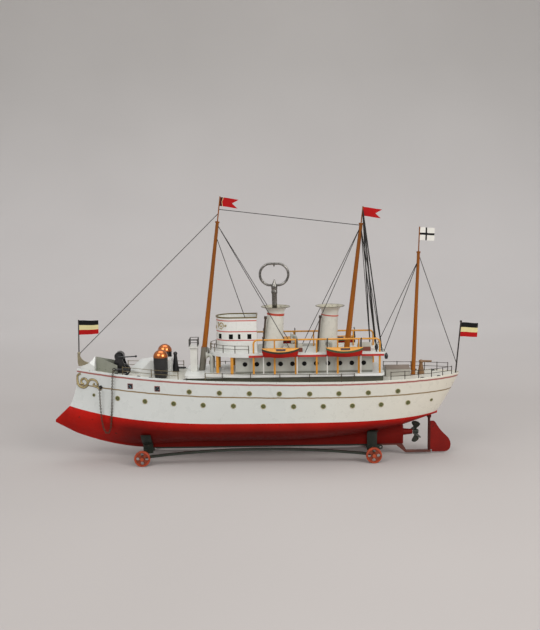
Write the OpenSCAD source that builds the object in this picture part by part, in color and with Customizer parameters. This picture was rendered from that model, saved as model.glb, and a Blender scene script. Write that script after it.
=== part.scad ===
// Clockwork tin ship on a wheeled carriage. Millimetres, +Z up, bow to -X, port side to -Y.

/* [Hull] */
// Greatest breadth of the hull
hull_beam = 100; // [96:1:104]
// Height of the hull edge at its lowest point
sheer_low = 124; // [122:0.5:126]
// Sheet thickness of the hull shells
shell_t = 1.2; // [1:0.1:1.4]
// Half thickness of the hollow keel fin
fin_half = 4.5; // [4.4:0.1:5]
// Radius of the hull portholes
porthole_r = 4; // [3:0.1:4.4]
// Radius of the hawse pipes
hawse_r = 2.6; // [2.2:0.1:3]

/* [Upper works] */
// Half width of the promenade plate
promenade_half = 45; // [44:0.1:45.4]
// Height of the deckhouse walls
house_h = 25.5; // [24:0.5:27]
// Half width of the deckhouse
house_half = 33; // [30:0.5:35]
// Radius of the deckhouse portholes
house_port_r = 3.5; // [2.5:0.1:4.5]
// Radius of the house posts
post_r = 1.5; // [1.2:0.1:1.7]
// Radius of the awning rail tube
awning_r = 1.3; // [1.1:0.1:1.5]
// Height of the awning rail above the boat deck
awning_h = 23.5; // [20:0.5:26]
// Height of the wheelhouse wall
wheelhouse_h = 50; // [44:0.5:52]
// Radius of the wheelhouse front
wheelhouse_r = 24; // [22:0.5:25]
// Radius of the funnel tubes below the rim
funnel_r = 12.5; // [12:0.25:13.5]
// Radius of the funnel feet
funnel_foot_r = 16; // [15:0.25:16.5]
// Radius of the flared funnel rims
funnel_rim_r = 21.5; // [19:0.5:22]
// Height of the funnels
funnel_h = 68; // [64:1:72]
// Length of the lifeboats
boat_length = 54; // [50:1:56]
// Breadth of the lifeboats
boat_beam = 17; // [15:0.5:18]
// Depth of the lifeboats
boat_depth = 10; // [9:0.5:11]
// Radius of the davit rods
davit_r = 0.9; // [0.7:0.1:1.1]

/* [Masts and flags] */
// Height of the foremast above the promenade plate
fore_h = 222; // [215:1:226]
// Height of the main mast above the boat deck
main_h = 189; // [182:1:194]
// Height of the mizzen mast above the deck
mizzen_h = 185; // [178:1:190]
// Foot radius of the fore and main masts
mast_r = 4; // [3.4:0.1:4.4]
// Radius of the rigging threads
thread_r = 0.5; // [0.4:0.05:0.6]
// Thickness of the tin flags
flag_t = 0.6; // [0.5:0.1:0.8]

/* [Carriage] */
// Wheel radius
wheel_r = 11.8; // [11.4:0.1:12.2]
// Wheel width
wheel_w = 5; // [4:0.25:5.5]
// Axle radius
axle_r = 1.5; // [1.3:0.05:1.7]
// Distance from the middle to the inner wheel face
wheel_in = 42; // [41.5:0.25:44]
// Width of the saddle cheeks along the hull
saddle_w = 15; // [12:0.5:16]
// Radius of the hole in the tow eye
tow_r = 1.6; // [1.4:0.1:1.8]

/* [Drive] */
// Radius of the propeller
prop_r = 17.5; // [15:0.5:17.5]
// Radius of the propeller shaft
shaft_r = 1.5; // [1.3:0.05:1.6]
// Radius of the rudder post
rudder_r = 1.9; // [1.7:0.05:2]
// Tooth module of the gears
gear_m = 1; // [0.96:0.02:1.02]
// Width across the flats of the winding square
square_w = 3.6; // [3.2:0.1:4]
// Radius of the key bow lobes
key_lobe_r = 18; // [16:0.5:19]
// Running clearance between turning parts, radial
run_gap = 0.05; // [0.03:0.01:0.08]

/* [Hidden] */
$fn = 48;
bow_x = -321;
fly_x = 321;
stem_low_x = -299;
stem_top_x = -285.6;
stern_low_x = 260.6;
stern_top_x = 294;
ram_end_x = -290;
post_x = 206;
sheer_x0 = 120;
sheer_curve = 0.0001;
paint_low = 63;
paint_x0 = 90;
paint_fore = 8.7e-10;
paint_aft = 1.12e-6;
keel_z = 17.5;
keel_flat_x = -170;
counter_z = 45.8;
counter_end_z = 64.3;
ram_z = 60.5;
embed = 0.4;
deck_t = 1.2;
deck_drop = 1;
main_n = 24;
aft_n = 7;
row_n = 4;

u_ram = (ram_end_x - stem_low_x) / (stern_low_x - stem_low_x);
u_post = (post_x - stem_low_x) / (stern_low_x - stem_low_x);
fore_u = [0, u_ram * 0.4];
main_u = [for (i = [0:main_n]) mix(u_ram, u_post, i / main_n)];
aft_u = [for (i = [1:aft_n]) mix(u_post, 1, sin(90 * i / aft_n))];
all_u = concat(fore_u, main_u, aft_u);

function mix(a, b, t) = a + (b - a) * t;
function unit(t) = max(0, min(1, t));
function sheer_z(x) = sheer_low + sheer_curve * pow(x - sheer_x0, 2);
function deck_z(x) = sheer_z(x) - deck_drop;
function paint_z(x) = x < paint_x0 ? paint_low + paint_fore * pow(paint_x0 - x, 4)
  : paint_low + paint_aft * pow(x - paint_x0, 3);
function stem_x(r) = stem_top_x - (stem_top_x - stem_low_x) * pow(1 - r, 2.2);
function stern_x(r) = stern_low_x + (stern_top_x - stern_low_x) * pow(r, 0.85);
function fullness(u) = u <= 0 ? 0 : u < 0.42 ? 1 - pow(1 - u / 0.42, 2.2)
  : u < 0.6 ? 1 : u >= 1 ? 0 : pow(1 - pow((u - 0.6) / 0.4, 2.6), 0.62);
function half_at(r) = hull_beam / 2 * (0.93 + 0.07 * r);
function plan_u(x, r) = (x - stem_x(r)) / (stern_x(r) - stem_x(r));
function side_y(x, z) = let (r = unit((z - paint_z(x)) / (sheer_z(x) - paint_z(x))))
  half_at(r) * fullness(plan_u(x, r));
function deck_half(x) = half_at(1) * fullness(plan_u(x, 1));
function keel_at(x) = x < keel_flat_x ? keel_z + 22.5 * pow((keel_flat_x - x) / 115, 1.9) : keel_z;
function fin_h(x) = x < -250 ? 2 : x < -100 ? mix(2, 8.5, (x + 250) / 150)
  : x < 40 ? 8.5 : 8.5 + (counter_z - keel_z - 8.5) * pow((x - 40) / (post_x - 40), 1.6);
function fin_y(x) = mix(1.5, fin_half, unit((x - bow_x) / 120));
function ram_top(x) = x < stem_low_x
  ? mix(ram_z + 2, paint_z(stem_low_x), (x - bow_x) / (stem_low_x - bow_x)) : paint_z(x);
function ram_low(x) = x < ram_end_x
  ? mix(ram_z - 2, keel_at(ram_end_x), (x - bow_x) / (ram_end_x - bow_x)) : keel_at(x);
function ram_bulge(x) = 5 * unit((x - bow_x) / 31) * unit((-230 - x) / 60);
function body_low(x) = x < post_x ? ram_low(x) + fin_h(x)
  : mix(counter_z, counter_end_z, (x - post_x) / (stern_low_x - post_x));
function sharp(x) = 0.8 + 0.35 * pow(unit(abs(x) / 280), 2);
function hull_y(x, z) = let (
    top = half_at(0) * fullness(plan_u(x, 0)),
    thin = x < post_x + 0.01 ? fin_y(x) : 0.3,
    v = unit((z - body_low(x)) / (ram_top(x) - body_low(x))),
    w = unit((z - ram_low(x)) / (ram_top(x) - ram_low(x))))
  thin + max(0, top - thin) * pow(1 - pow(1 - v, 2), sharp(x)) + ram_bulge(x) * sin(180 * w);

// Rows of a hull section from the keel to the paint line
function low_rows(x) = let (k = ram_low(x), b = body_low(x), p = ram_top(x))
  concat([k, mix(k, b, 0.55)], [for (t = [0, 0.1, 0.22, 0.38, 0.6]) mix(b, p, t)], [p]);
function counter_rows(x) = let (b = body_low(x), p = max(paint_z(x), body_low(x) + 1))
  [b, mix(b, p, 0.12), mix(b, p, 0.3), mix(b, p, 0.6), p];
function flip(list) = [for (i = [len(list) - 1:-1:0]) list[i]];
// U-shaped loop of a shell: outside port to starboard, then inside back
function channel_loop(x, zs, ys) = let (
    low = zs[0],
    top = zs[len(zs) - 1],
    lift = min(shell_t, (top - low) / 2),
    zin = [for (z = zs) mix(low + lift, top, (z - low) / (top - low))],
    yin = [for (y = ys) max(y - shell_t, 0.25 * y)],
    n = len(zs) - 1)
  concat(
    [for (i = [n:-1:0]) [x, -ys[i], zs[i]]],
    [for (i = [0:n]) [x, ys[i], zs[i]]],
    [for (i = [n:-1:0]) [x, yin[i], zin[i]]],
    [for (i = [0:n]) [x, -yin[i], zin[i]]]);
function solid_loop(x, zs, ys) = let (n = len(zs) - 1)
  concat([for (i = [n:-1:0]) [x, -ys[i], zs[i]]], [for (i = [0:n]) [x, ys[i], zs[i]]]);
function grid_faces(m, n, wrap) = [for (i = [0:(wrap ? m - 1 : m - 2)]) for (j = [0:n - 1])
  let (k = (j + 1) % n, up = ((i + 1) % m) * n, a = i * n + j, b = i * n + k, c = up + k, d = up + j)
  each [[a, c, b], [a, d, c]]];
function strip(start, n, turn) = let (h = n / 2) [for (j = [0:h - 2])
  let (a = start + j, b = start + j + 1, c = start + n - 2 - j, d = start + n - 1 - j)
  each turn ? [[a, c, b], [a, d, c]] : [[a, b, c], [a, c, d]]];
function flat(loops) = [for (l = loops) each l];

module loft(loops) {
  n = len(loops[0]);
  m = len(loops);
  ends = concat(strip(0, n, false), strip((m - 1) * n, n, true));
  polyhedron(points = flat(loops), faces = concat(grid_faces(m, n, false), ends), convexity = 8);
}

// Straight round rod between two points
module rod(a, b, r) {
  d = b - a;
  len = norm(d);
  translate(a)
    rotate([0, acos(d[2] / len), atan2(d[1], d[0])])
      cylinder(r = r, h = len);
}

module along_y(h) {
  rotate([90, 0, 0])
    translate([0, 0, -h / 2])
      children();
}

module both_sides() {
  children();
  mirror([0, 1, 0])
    children();
}

// Hull

module hull_topsides() {
  k = len(all_u) - 1;
  around = concat([for (i = [0:k]) [all_u[i], 1]], [for (i = [k - 1:-1:1]) [all_u[i], -1]]);
  rows = [for (i = [0:row_n]) i / row_n];
  loops = [for (p = around) concat(
    [for (r = rows) let (x = mix(stem_x(r), stern_x(r), p[0]))
      [x, p[1] * half_at(r) * fullness(p[0]), mix(paint_z(x), sheer_z(x), r)]],
    [for (r = flip(rows)) let (x = mix(stem_x(r) + 3, stern_x(r) - shell_t, p[0]))
      [x, p[1] * (half_at(r) - shell_t) * fullness(p[0]), mix(paint_z(x), sheer_z(x), r)]])];
  n = len(loops[0]);
  color("gainsboro")
    polyhedron(points = flat(loops), faces = grid_faces(len(loops), n, true), convexity = 8);
}

module hull_bottom() {
  loops = [for (u = main_u) let (x = mix(stem_low_x, stern_low_x, u), zs = low_rows(x))
    channel_loop(x, zs, [for (z = zs) hull_y(x, z)])];
  color("firebrick")
    loft(loops);
}

module ram() {
  xs = [bow_x, bow_x + 4, bow_x + 10, bow_x + 16, stem_low_x, stem_low_x + 4, ram_end_x];
  loops = [for (x = xs) let (zs = low_rows(x)) solid_loop(x, zs, [for (z = zs) hull_y(x, z)])];
  color("firebrick")
    loft(loops);
}

module counter() {
  us = concat([u_post], aft_u);
  loops = [for (u = us) let (x = mix(stem_low_x, stern_low_x, u), zs = counter_rows(x))
    channel_loop(x, zs, [for (z = zs) max(0.6, hull_y(x, z))])];
  color("firebrick")
    loft(loops);
}

shaft_z = 35;
tube_r = 3;
tube_x0 = 150;
tube_x1 = 222.8;
boss_r = 5.2;
boss_end_r = 3.7;
stern_plate_t = 2.5;

module stern_post() {
  color("firebrick")
    difference() {
      translate([post_x, -fin_half, keel_z])
        cube([stern_plate_t, 2 * fin_half, counter_z - keel_z]);
      translate([post_x - 1, 0, shaft_z])
        rotate([0, 90, 0])
          cylinder(r = tube_r, h = stern_plate_t + 2);
    }
}

strip_t = 2.7;
strip_half = 3;
heel_low = 3.2;
heel_t = 2.8;
rudder_x = 248.5;
pintle_r = rudder_r - 0.3;

module keel_bar() {
  heel_end = rudder_x + 2.6;
  outline = [[keel_flat_x - 5, keel_z], [keel_flat_x + 2, keel_z - strip_t], [post_x - 8, keel_z - strip_t],
    [post_x + 6, heel_low], [heel_end, heel_low], [heel_end, heel_low + heel_t],
    [post_x + 8, heel_low + heel_t], [post_x + 1, keel_z]];
  color("darkslategray")
    difference() {
      along_y(2 * strip_half)
        linear_extrude(2 * strip_half)
          polygon(outline);
      translate([rudder_x, 0, heel_low - 1])
        cylinder(r = pintle_r + run_gap, h = heel_t + 2);
    }
}

arbor_x = 15;
arbor_r = 2.5;
deck_hole_r = arbor_r + 1.5;

module main_deck() {
  us = [for (i = [1:len(all_u) - 2]) all_u[i]];
  loops = [for (u = us) let (
      x = mix(stem_x(1) + 3, stern_x(1) - shell_t, u),
      y = (half_at(1) - shell_t + embed) * fullness(u),
      z = deck_z(x))
    [[x, -y, z], [x, -y, z - deck_t], [x, y, z - deck_t], [x, y, z]]];
  color("lightgray")
    difference() {
      loft(loops);
      translate([arbor_x, 0, sheer_low - 10])
        cylinder(r = deck_hole_r, h = 20);
    }
}

back_x0 = stem_top_x + 6;
back_x1 = stem_top_x + 28.6;
back_z = deck_z(back_x0) + 6.5;
back_rise = 13;
back_in = shell_t + 1.4;

module bow_whaleback() {
  xs = [for (t = [0, 0.13, 0.27, 0.47, 0.67, 0.87, 1]) mix(back_x0, back_x1, t)];
  port = [for (x = xs) [x, -deck_half(x) + back_in]];
  starboard = [for (x = flip(xs)) [x, deck_half(x) - back_in]];
  foot = deck_z(back_x1) - embed;
  side = [[back_x0 - 1, foot], [back_x0 - 1, back_z], [back_x0 + 6, back_z + 0.6], [back_x1 - 9, back_z + 4],
    [back_x1 - 4, back_z + 8.5], [back_x1 - 1, back_z + back_rise], [back_x1, back_z + back_rise],
    [back_x1, foot]];
  half = deck_half(back_x1);
  hip = [[-half, foot], [half, foot], [half, foot + 4], [1.5, back_z + back_rise], [-1.5, back_z + back_rise],
    [-half, foot + 4]];
  color("gainsboro")
    intersection() {
      translate([0, 0, sheer_low])
        linear_extrude(40)
          polygon(concat(port, starboard));
      along_y(2 * half)
        linear_extrude(2 * half)
          polygon(side);
      translate([back_x0 - 1, 0, 0])
        rotate([90, 0, 90])
          linear_extrude(back_x1 - back_x0 + 2)
            polygon(hip);
    }
}

module breakwater() {
  apex_x = back_x1 + 1;
  wing = 33;
  reach = 17;
  apex_h = 22;
  wing_h = 13;
  t = 1.9;
  foot = deck_z(apex_x + wing) - embed;
  color("darkgray")
    intersection() {
      translate([apex_x, 0, foot])
        linear_extrude(apex_h + 10)
          polygon([[0, 0], [wing, -reach], [wing + t, -reach], [t, 0], [wing + t, reach], [wing, reach]]);
      along_y(3 * reach)
        linear_extrude(3 * reach)
          polygon([[apex_x - 1, deck_z(apex_x) - embed], [apex_x - 1, deck_z(apex_x) + apex_h],
            [apex_x + wing + 4, foot + wing_h], [apex_x + wing + 4, foot]]);
    }
}

// Place a child on the hull side with +Z outward and +Y up
module on_side(x, z) {
  slope = atan2(side_y(x + 2, z) - side_y(x - 2, z), 4);
  translate([x, -side_y(x, z), z])
    rotate([0, 0, -slope])
      rotate([90, 0, 0])
        children();
}

scroll_t = 1.6;

module scroll_arc(cx, cy, r, a0, a1, w) {
  n = 16;
  angles = [for (i = [0:n]) mix(a0, a1, i / n)];
  outer = [for (a = angles) [cx, cy] + (r + w / 2) * [cos(a), sin(a)]];
  inner = [for (a = flip(angles)) [cx, cy] + (r - w / 2) * [cos(a), sin(a)]];
  polygon(concat(outer, inner));
}

module scroll_spiral(r0, r1, a0, a1, w) {
  n = 40;
  way = [for (i = [0:n]) [mix(r0, r1, i / n), mix(a0, a1, i / n)]];
  outer = [for (p = way) (p[0] + w / 2) * [cos(p[1]), sin(p[1])]];
  inner = [for (p = flip(way)) (p[0] - w / 2) * [cos(p[1]), sin(p[1])]];
  polygon(concat(outer, inner));
}

module scroll() {
  scroll_spiral(1.8, 7.2, 30, 620, 2);
  scroll_arc(15.4, -1, 8.2, 50, 190, 2.2);
  scroll_arc(25.2, 9.6, 6, 215, 330, 1.9);
  circle(2.4);
}

scroll_x = stem_top_x + 10.6;
scroll_z = 125;

module bow_scrolls() {
  color("goldenrod")
    both_sides()
      on_side(scroll_x, scroll_z)
        translate([0, 0, -shell_t])
          linear_extrude(scroll_t)
            scroll();
}

upper_row = [-112, -67.7, -23.9, 19.9, 64.2, 107, 150.3, 194.5];
lower_row = [-221, -178.8, -135.7, -92.1, -47.7, -3.8, 40.6, 84.1, 127, 169.6, 210.4];
square_row = [-200.7, -159.6];
small_row = [-258.8, 247.4];
upper_drop = 17;
lower_drop = 36.2;
square_drop = 15.5;
small_part = 0.66;

module round_ports(xs, drop, r) {
  for (x = xs)
    on_side(x, sheer_z(x) - drop)
      translate([0, 0, -shell_t / 2])
        cylinder(r = r, h = shell_t);
}

module porthole_rims() {
  color("darkkhaki")
    both_sides() {
      round_ports(upper_row, upper_drop, porthole_r);
      round_ports(lower_row, lower_drop, porthole_r);
      round_ports(small_row, lower_drop, porthole_r * small_part);
      for (x = square_row)
        on_side(x, sheer_z(x) - square_drop)
          translate([-porthole_r, -porthole_r, -shell_t / 2])
            cube([2 * porthole_r, 2 * porthole_r, shell_t]);
    }
}

hawse_x = -247;
hawse_z = 115;
hawse_out = 2.2;

module hawse_pipes() {
  color("dimgray")
    both_sides()
      on_side(hawse_x, hawse_z)
        translate([0, 0, -1])
          difference() {
            cylinder(r = hawse_r, h = hawse_out + 1);
            translate([0, 0, 1])
              cylinder(r = hawse_r - 1, h = hawse_out + 1);
          }
}

// Upper works

plinth_x0 = -117;
plinth_x1 = 173;
plinth_half = 40;
prom_z = 132;
prom_t = 3.5;
house_x0 = -44;
house_x1 = 158;
house_t = 1;
boat_x1 = 178;
boat_half = 42.5;
boat_corner = 6;
rim_t = 1.2;
prom_top = prom_z + prom_t;
boat_z = prom_top + house_h;
boat_t = 2;
boat_top = boat_z + boat_t;
rim_top = boat_top + 4;
bridge_x = -24;
bridge_long = 60;
bridge_half = 42;
bridge_aft_x = -11;
function bridge_edge(a, in) = [bridge_x + (bridge_long - in) * cos(a), (bridge_half - in) * sin(a)];

module rounded_plate(x0, x1, half, r, h) {
  linear_extrude(h)
    union() {
      translate([x0 + r, -half])
        square([x1 - x0 - 2 * r, 2 * half]);
      translate([x0, -half + r])
        square([x1 - x0, 2 * half - 2 * r]);
      for (x = [x0 + r, x1 - r])
        for (y = [-half + r, half - r])
          translate([x, y])
            circle(r);
    }
}

module plinth() {
  n = 12;
  low = [for (i = [0:n]) let (x = mix(plinth_x0, plinth_x1, i / n)) [x, deck_z(x) - embed]];
  color("darkslategray")
    difference() {
      along_y(2 * plinth_half)
        linear_extrude(2 * plinth_half)
          polygon(concat(low, [[plinth_x1, prom_z], [plinth_x0, prom_z]]));
      translate([plinth_x0 + 2, -plinth_half + 2, sheer_low - 20])
        cube([plinth_x1 - plinth_x0 - 4, 2 * plinth_half - 4, 60]);
    }
}

module promenade_plate() {
  color("whitesmoke")
    difference() {
      translate([0, 0, prom_z])
        rounded_plate(plinth_x0 - 2, plinth_x1 + 2, promenade_half, 8, prom_t);
      translate([arbor_x, 0, prom_z - 1])
        cylinder(r = deck_hole_r, h = prom_t + 2);
    }
}

house_port_n = 11;
house_port_x0 = -30;
house_port_x1 = 145;

module deckhouse() {
  color("darkgray")
    difference() {
      translate([house_x0, -house_half, prom_top])
        cube([house_x1 - house_x0, 2 * house_half, house_h]);
      translate([house_x0 + house_t, -house_half + house_t, prom_top - 1])
        cube([house_x1 - house_x0 - 2 * house_t, 2 * house_half - 2 * house_t, house_h + 2]);
      for (i = [0:house_port_n - 1])
        translate([mix(house_port_x0, house_port_x1, i / (house_port_n - 1)), 0, prom_top + house_h * 0.55])
          along_y(4 * house_half)
            cylinder(r = house_port_r, h = 4 * house_half);
    }
}

module boat_deck() {
  color("whitesmoke")
    difference() {
      translate([0, 0, boat_z])
        rounded_plate(house_x0 - boat_corner, boat_x1, boat_half, boat_corner, rim_top - boat_z);
      translate([0, 0, boat_top])
        rounded_plate(bridge_aft_x, boat_x1 - rim_t, boat_half - rim_t, boat_corner - rim_t, rim_top);
      translate([house_x0 - 20, -boat_half - 1, boat_z - 1])
        cube([bridge_x - house_x0 + 20, 2 * boat_half + 2, rim_top - boat_z + 2]);
      translate([arbor_x, 0, boat_z - 1])
        cylinder(r = deck_hole_r, h = boat_t + 2);
    }
}

awning_x0 = -17;
awning_pitch = 30.8;
awning_n = 7;
post_y = boat_half - rim_t - awning_r - 0.2;

bridge_post_list = [[-71, 22.5], [-49, 35]];

module house_posts() {
  color("orange")
    both_sides() {
      for (i = [0:awning_n - 1])
        translate([awning_x0 + awning_pitch * i, -post_y, prom_top])
          cylinder(r = post_r, h = house_h);
      for (p = bridge_post_list)
        translate([p[0], -p[1], prom_top])
          cylinder(r = post_r * 1.5, h = house_h);
    }
}

module awning_rails() {
  bend = 6;
  top = boat_top + awning_h;
  last_x = awning_x0 + awning_pitch * (awning_n - 1);
  color("orange")
    both_sides() {
      translate([awning_x0, -post_y, rim_top])
        cylinder(r = awning_r, h = top - bend - rim_top);
      translate([last_x, -post_y, boat_top])
        cylinder(r = awning_r, h = awning_h - bend);
      for (i = [1:awning_n - 2])
        translate([awning_x0 + awning_pitch * i, -post_y, boat_top])
          cylinder(r = awning_r * 0.8, h = awning_h);
      rod([awning_x0 + bend, -post_y, top], [last_x - bend, -post_y, top], awning_r);
      translate([awning_x0 + bend, -post_y, top - bend])
        rotate([90, 0, 0])
          rotate([0, 0, 90])
            rotate_extrude(angle = 90)
              translate([bend, 0])
                circle(awning_r);
      translate([last_x - bend, -post_y, top - bend])
        rotate([90, 0, 0])
          rotate_extrude(angle = 90)
            translate([bend, 0])
              circle(awning_r);
    }
}

wheel_x = -49;

module bridge_deck() {
  color("whitesmoke")
    translate([0, 0, boat_z])
      linear_extrude(rim_top - boat_z)
        polygon([for (a = [90:5:270]) bridge_edge(a, 0)]);
}

module wheelhouse_plan(r, x1) {
  translate([wheel_x, 0])
    circle(r);
  translate([wheel_x, -r])
    square([x1 - wheel_x, 2 * r]);
}

wheel_t = 1.2;
wheel_x1 = -12;
window_w = 6;
slit_w = 3.8;
window_h = 7.5;

module wheelhouse() {
  window_z = rim_top + wheelhouse_h * 0.45;
  color("whitesmoke")
    difference() {
      translate([0, 0, rim_top])
        linear_extrude(wheelhouse_h)
          wheelhouse_plan(wheelhouse_r, wheel_x1);
      translate([0, 0, rim_top + wheel_t])
        linear_extrude(wheelhouse_h)
          wheelhouse_plan(wheelhouse_r - wheel_t, wheel_x1 - wheel_t);
      for (a = [-137, -93, 180, 93, 137])
        translate([wheel_x, 0, window_z])
          rotate([0, 0, a])
            translate([wheelhouse_r - 4, -window_w / 2, -window_h / 2])
              cube([8, window_w, window_h]);
      for (w = [[-38, slit_w], [-23, window_w]])
        translate([w[0] - w[1] / 2, -wheelhouse_r - 5, window_z - window_h / 2])
          cube([w[1], 2 * wheelhouse_r + 10, window_h]);
    }
}

module wheelhouse_rim() {
  color("darkgoldenrod")
    translate([0, 0, rim_top + wheelhouse_h])
      linear_extrude(1.6)
        difference() {
          wheelhouse_plan(wheelhouse_r + 0.7, wheel_x1 + 0.7);
          wheelhouse_plan(wheelhouse_r - wheel_t, wheel_x1 - wheel_t);
        }
}

funnel_rake = 5.5;
funnel_t = 1;
funnel_xs = [11, 92.5];

flare_h = 10;
rim_lip = 0.6;
flare_z = funnel_h - flare_h;
flare_lean = flare_z * tan(funnel_rake);
ring_wall = 0.3;
ring_r = funnel_r + ring_wall;
flare = [for (a = [0:15:90]) [mix(funnel_rim_r, ring_r, cos(a)), flare_z + (flare_h - rim_lip) * sin(a)]];
throat = [for (a = [90:-15:0]) [mix(funnel_rim_r - funnel_t, ring_r - funnel_t - 2 * ring_wall, cos(a)),
  min(flare_z + (flare_h - rim_lip) * sin(a) + rim_lip, funnel_h)]];

// Raked funnel tubes, cut level, each under a level flared rim
module funnels() {
  color("whitesmoke")
    for (x = funnel_xs) {
      difference() {
        translate([x, 0, boat_top])
          rotate([0, funnel_rake, 0])
            rotate_extrude()
              polygon([[funnel_foot_r - funnel_t, -6], [funnel_foot_r, -6], [funnel_r, flare_z],
                [funnel_r, flare_z + 4], [funnel_r - funnel_t, flare_z + 4], [funnel_r - funnel_t, flare_z]]);
        translate([x - 40, -40, boat_top - 30])
          cube([80, 80, 30]);
        translate([x - 40, -40, boat_top + flare_z + 1])
          cube([80, 80, 30]);
      }
      translate([x + flare_lean, 0, boat_top])
        rotate_extrude()
          polygon(concat(flare, [[funnel_rim_r, funnel_h]], throat, [[throat[6][0], flare_z]]));
    }
}

pipe_r = 1.4;
pipe_h = 54;
pipe_at = [-funnel_foot_r + 1.2, -funnel_r + 1.2];

module steam_pipes() {
  color("saddlebrown")
    for (x = funnel_xs)
      difference() {
        translate([x + pipe_at[0], pipe_at[1], boat_top])
          rotate([0, funnel_rake, 0]) {
            translate([0, 0, -3])
              cylinder(r = pipe_r, h = pipe_h + 3);
            translate([0, 0, pipe_h - 3])
              cylinder(r = pipe_r + 0.8, h = 4);
          }
        translate([x - 40, -40, boat_top - 30])
          cube([80, 80, 30]);
      }
}

module skylight(x0, x1, half, z, wall, roof) {
  translate([x0, 0, z])
    rotate([90, 0, 90])
      linear_extrude(x1 - x0)
        polygon([[-half, 0], [half, 0], [half, wall], [0, wall + roof], [-half, wall]]);
}

aft_sky_x = 181;

// Skylights: fore end, length, half width, foot height, wall height
sky_list = [[33, 23, 11, boat_top, 6], [140, 18, 11, boat_top, 7],
  [aft_sky_x, 36, 12, deck_z(aft_sky_x) - embed, 12]];
sky_roof = 4.4;

module skylights() {
  color("tan")
    for (k = sky_list)
      skylight(k[0], k[0] + k[1], k[2], k[3], k[4], sky_roof);
}

// Port-side vents: distance along, distance out, foot height, stem height
vent_list = [[-80, 19.5, prom_top, 22], [47, 22, boat_top, 15], [97, 24, boat_top, 13]];

module cowl_vents() {
  r = 2.6;
  bend = 4;
  color("silver")
    both_sides()
      for (v = vent_list)
        translate([v[0], -v[1], v[2]]) {
          cylinder(r = r, h = v[3]);
          translate([-bend, 0, v[3]])
            rotate([90, 0, 0])
              rotate_extrude(angle = 90)
                translate([bend, 0])
                  circle(r);
          translate([-bend, 0, v[3] + bend])
            rotate([0, -90, 0])
              difference() {
                cylinder(r1 = r, r2 = r * 2, h = 4);
                translate([0, 0, 1])
                  cylinder(r1 = r * 0.9, r2 = r * 1.85, h = 4);
              }
        }
}

stand_x = -107.5;

module lookout_stand() {
  h = 36;
  color("whitesmoke") {
    translate([stand_x - 5, -9, prom_top])
      cube([10, 18, h]);
    translate([stand_x - 7, -12, prom_top + h])
      cube([14, 24, 1.2]);
    for (y = [-11, 0, 11])
      for (x = [stand_x - 6.2, stand_x + 6.2])
        translate([x, y, prom_top + h])
          cylinder(r = 0.6, h = 13);
    for (z = [8, 12.6]) {
      for (x = [stand_x - 6.2, stand_x + 6.2])
        rod([x, -11, prom_top + h + z], [x, 11, prom_top + h + z], 0.45);
      for (y = [-11, 11])
        rod([stand_x - 6.2, y, prom_top + h + z], [stand_x + 6.2, y, prom_top + h + z], 0.45);
    }
  }
}

boat_xs = [22, 115];
boat_y = boat_half + boat_beam / 2 + 2;
boat_keel = boat_z + 1;
davit_y = boat_half + davit_r + 0.4;
davit_reach = boat_y - davit_y;
davit_dx = boat_length / 2 - 2.5;

module davits() {
  top = boat_keel + ridge_z + 3.5;
  tackle_z = boat_keel + ridge_z - embed;
  color("white")
    both_sides()
      for (x = boat_xs)
        for (e = [-1, 1])
          translate([x + e * davit_dx, -davit_y, 0]) {
            translate([0, 0, prom_top])
              cylinder(r = davit_r, h = top - prom_top);
            translate([0, -davit_reach, top])
              rotate([90, 0, 90])
                rotate_extrude(angle = 90)
                  translate([davit_reach, 0])
                    circle(davit_r);
            translate([0, -davit_reach, tackle_z])
              cylinder(r = davit_r * 0.6, h = davit_reach + top - tackle_z);
          }
}

boat_rows = [-1, -0.93, -0.75, -0.45, 0, 0.45, 0.75, 0.93, 1];
function boat_half_at(t) = max(0.5, boat_beam / 2 * pow(1 - pow(abs(t), 2.4), 0.8));
boat_sheer = 4;
ridge_z = boat_depth + boat_sheer + 0.6;
function boat_rise(t) = boat_sheer * t * t;

module boat_body() {
  ws = [0.02, 0.32, 0.65, 1];
  loops = [for (t = boat_rows) let (
      k = boat_rise(t) * 0.8,
      z1 = boat_depth + boat_rise(t))
    solid_loop(t * boat_length / 2, [for (w = ws) mix(k, z1, w)],
      [for (w = ws) max(0.4, boat_half_at(t) * pow(w, 0.45))])];
  loft(loops);
}

// Cover: from the curved gunwale up to a level ridge
module boat_roof() {
  ws = [0, 0.55, 0.87, 1];
  loops = [for (t = boat_rows) let (z1 = boat_depth + boat_rise(t))
    solid_loop(t * boat_length / 2, [for (w = ws) mix(z1, ridge_z, w)],
      [for (f = [1, 0.68, 0.34, 0.04]) max(0.3, boat_half_at(t) * f)])];
  loft(loops);
}

module each_boat() {
  both_sides()
    for (x = boat_xs)
      translate([x, -boat_y, boat_keel])
        children();
}

module lifeboat_hulls() {
  color("firebrick")
    each_boat()
      boat_body();
}

module lifeboat_covers() {
  color("orange")
    each_boat()
      boat_roof();
}

// Deck gear

hatch_foot = [[-207, 0], [-188, -15], [-142, -15], [-142, 15], [-188, 15]];
hatch_roof = [[-188, 0], [-171, -15], [-142, -15], [-142, 15], [-171, 15]];
hatch_lip = 138;
hatch_top = 154;

module fore_hatch() {
  x0 = hatch_foot[0][0] - 1;
  x1 = hatch_foot[2][0] + 1;
  n = 6;
  deck = [for (i = [0:n]) let (x = mix(x0, x1, i / n)) [x, deck_z(x) - embed]];
  color("whitesmoke")
    intersection() {
      hull() {
        translate([0, 0, sheer_low])
          linear_extrude(hatch_lip - sheer_low)
            polygon(hatch_foot);
        translate([0, 0, hatch_top - 1])
          linear_extrude(1)
            polygon(hatch_roof);
      }
      along_y(40)
        linear_extrude(40)
          polygon(concat(deck, [[x1, hatch_top + 1], [x0, hatch_top + 1]]));
    }
}

capstan_x = -155;
capstan_y = 26;
capstan_r = 10.6;
capstan_h = 31;

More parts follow.
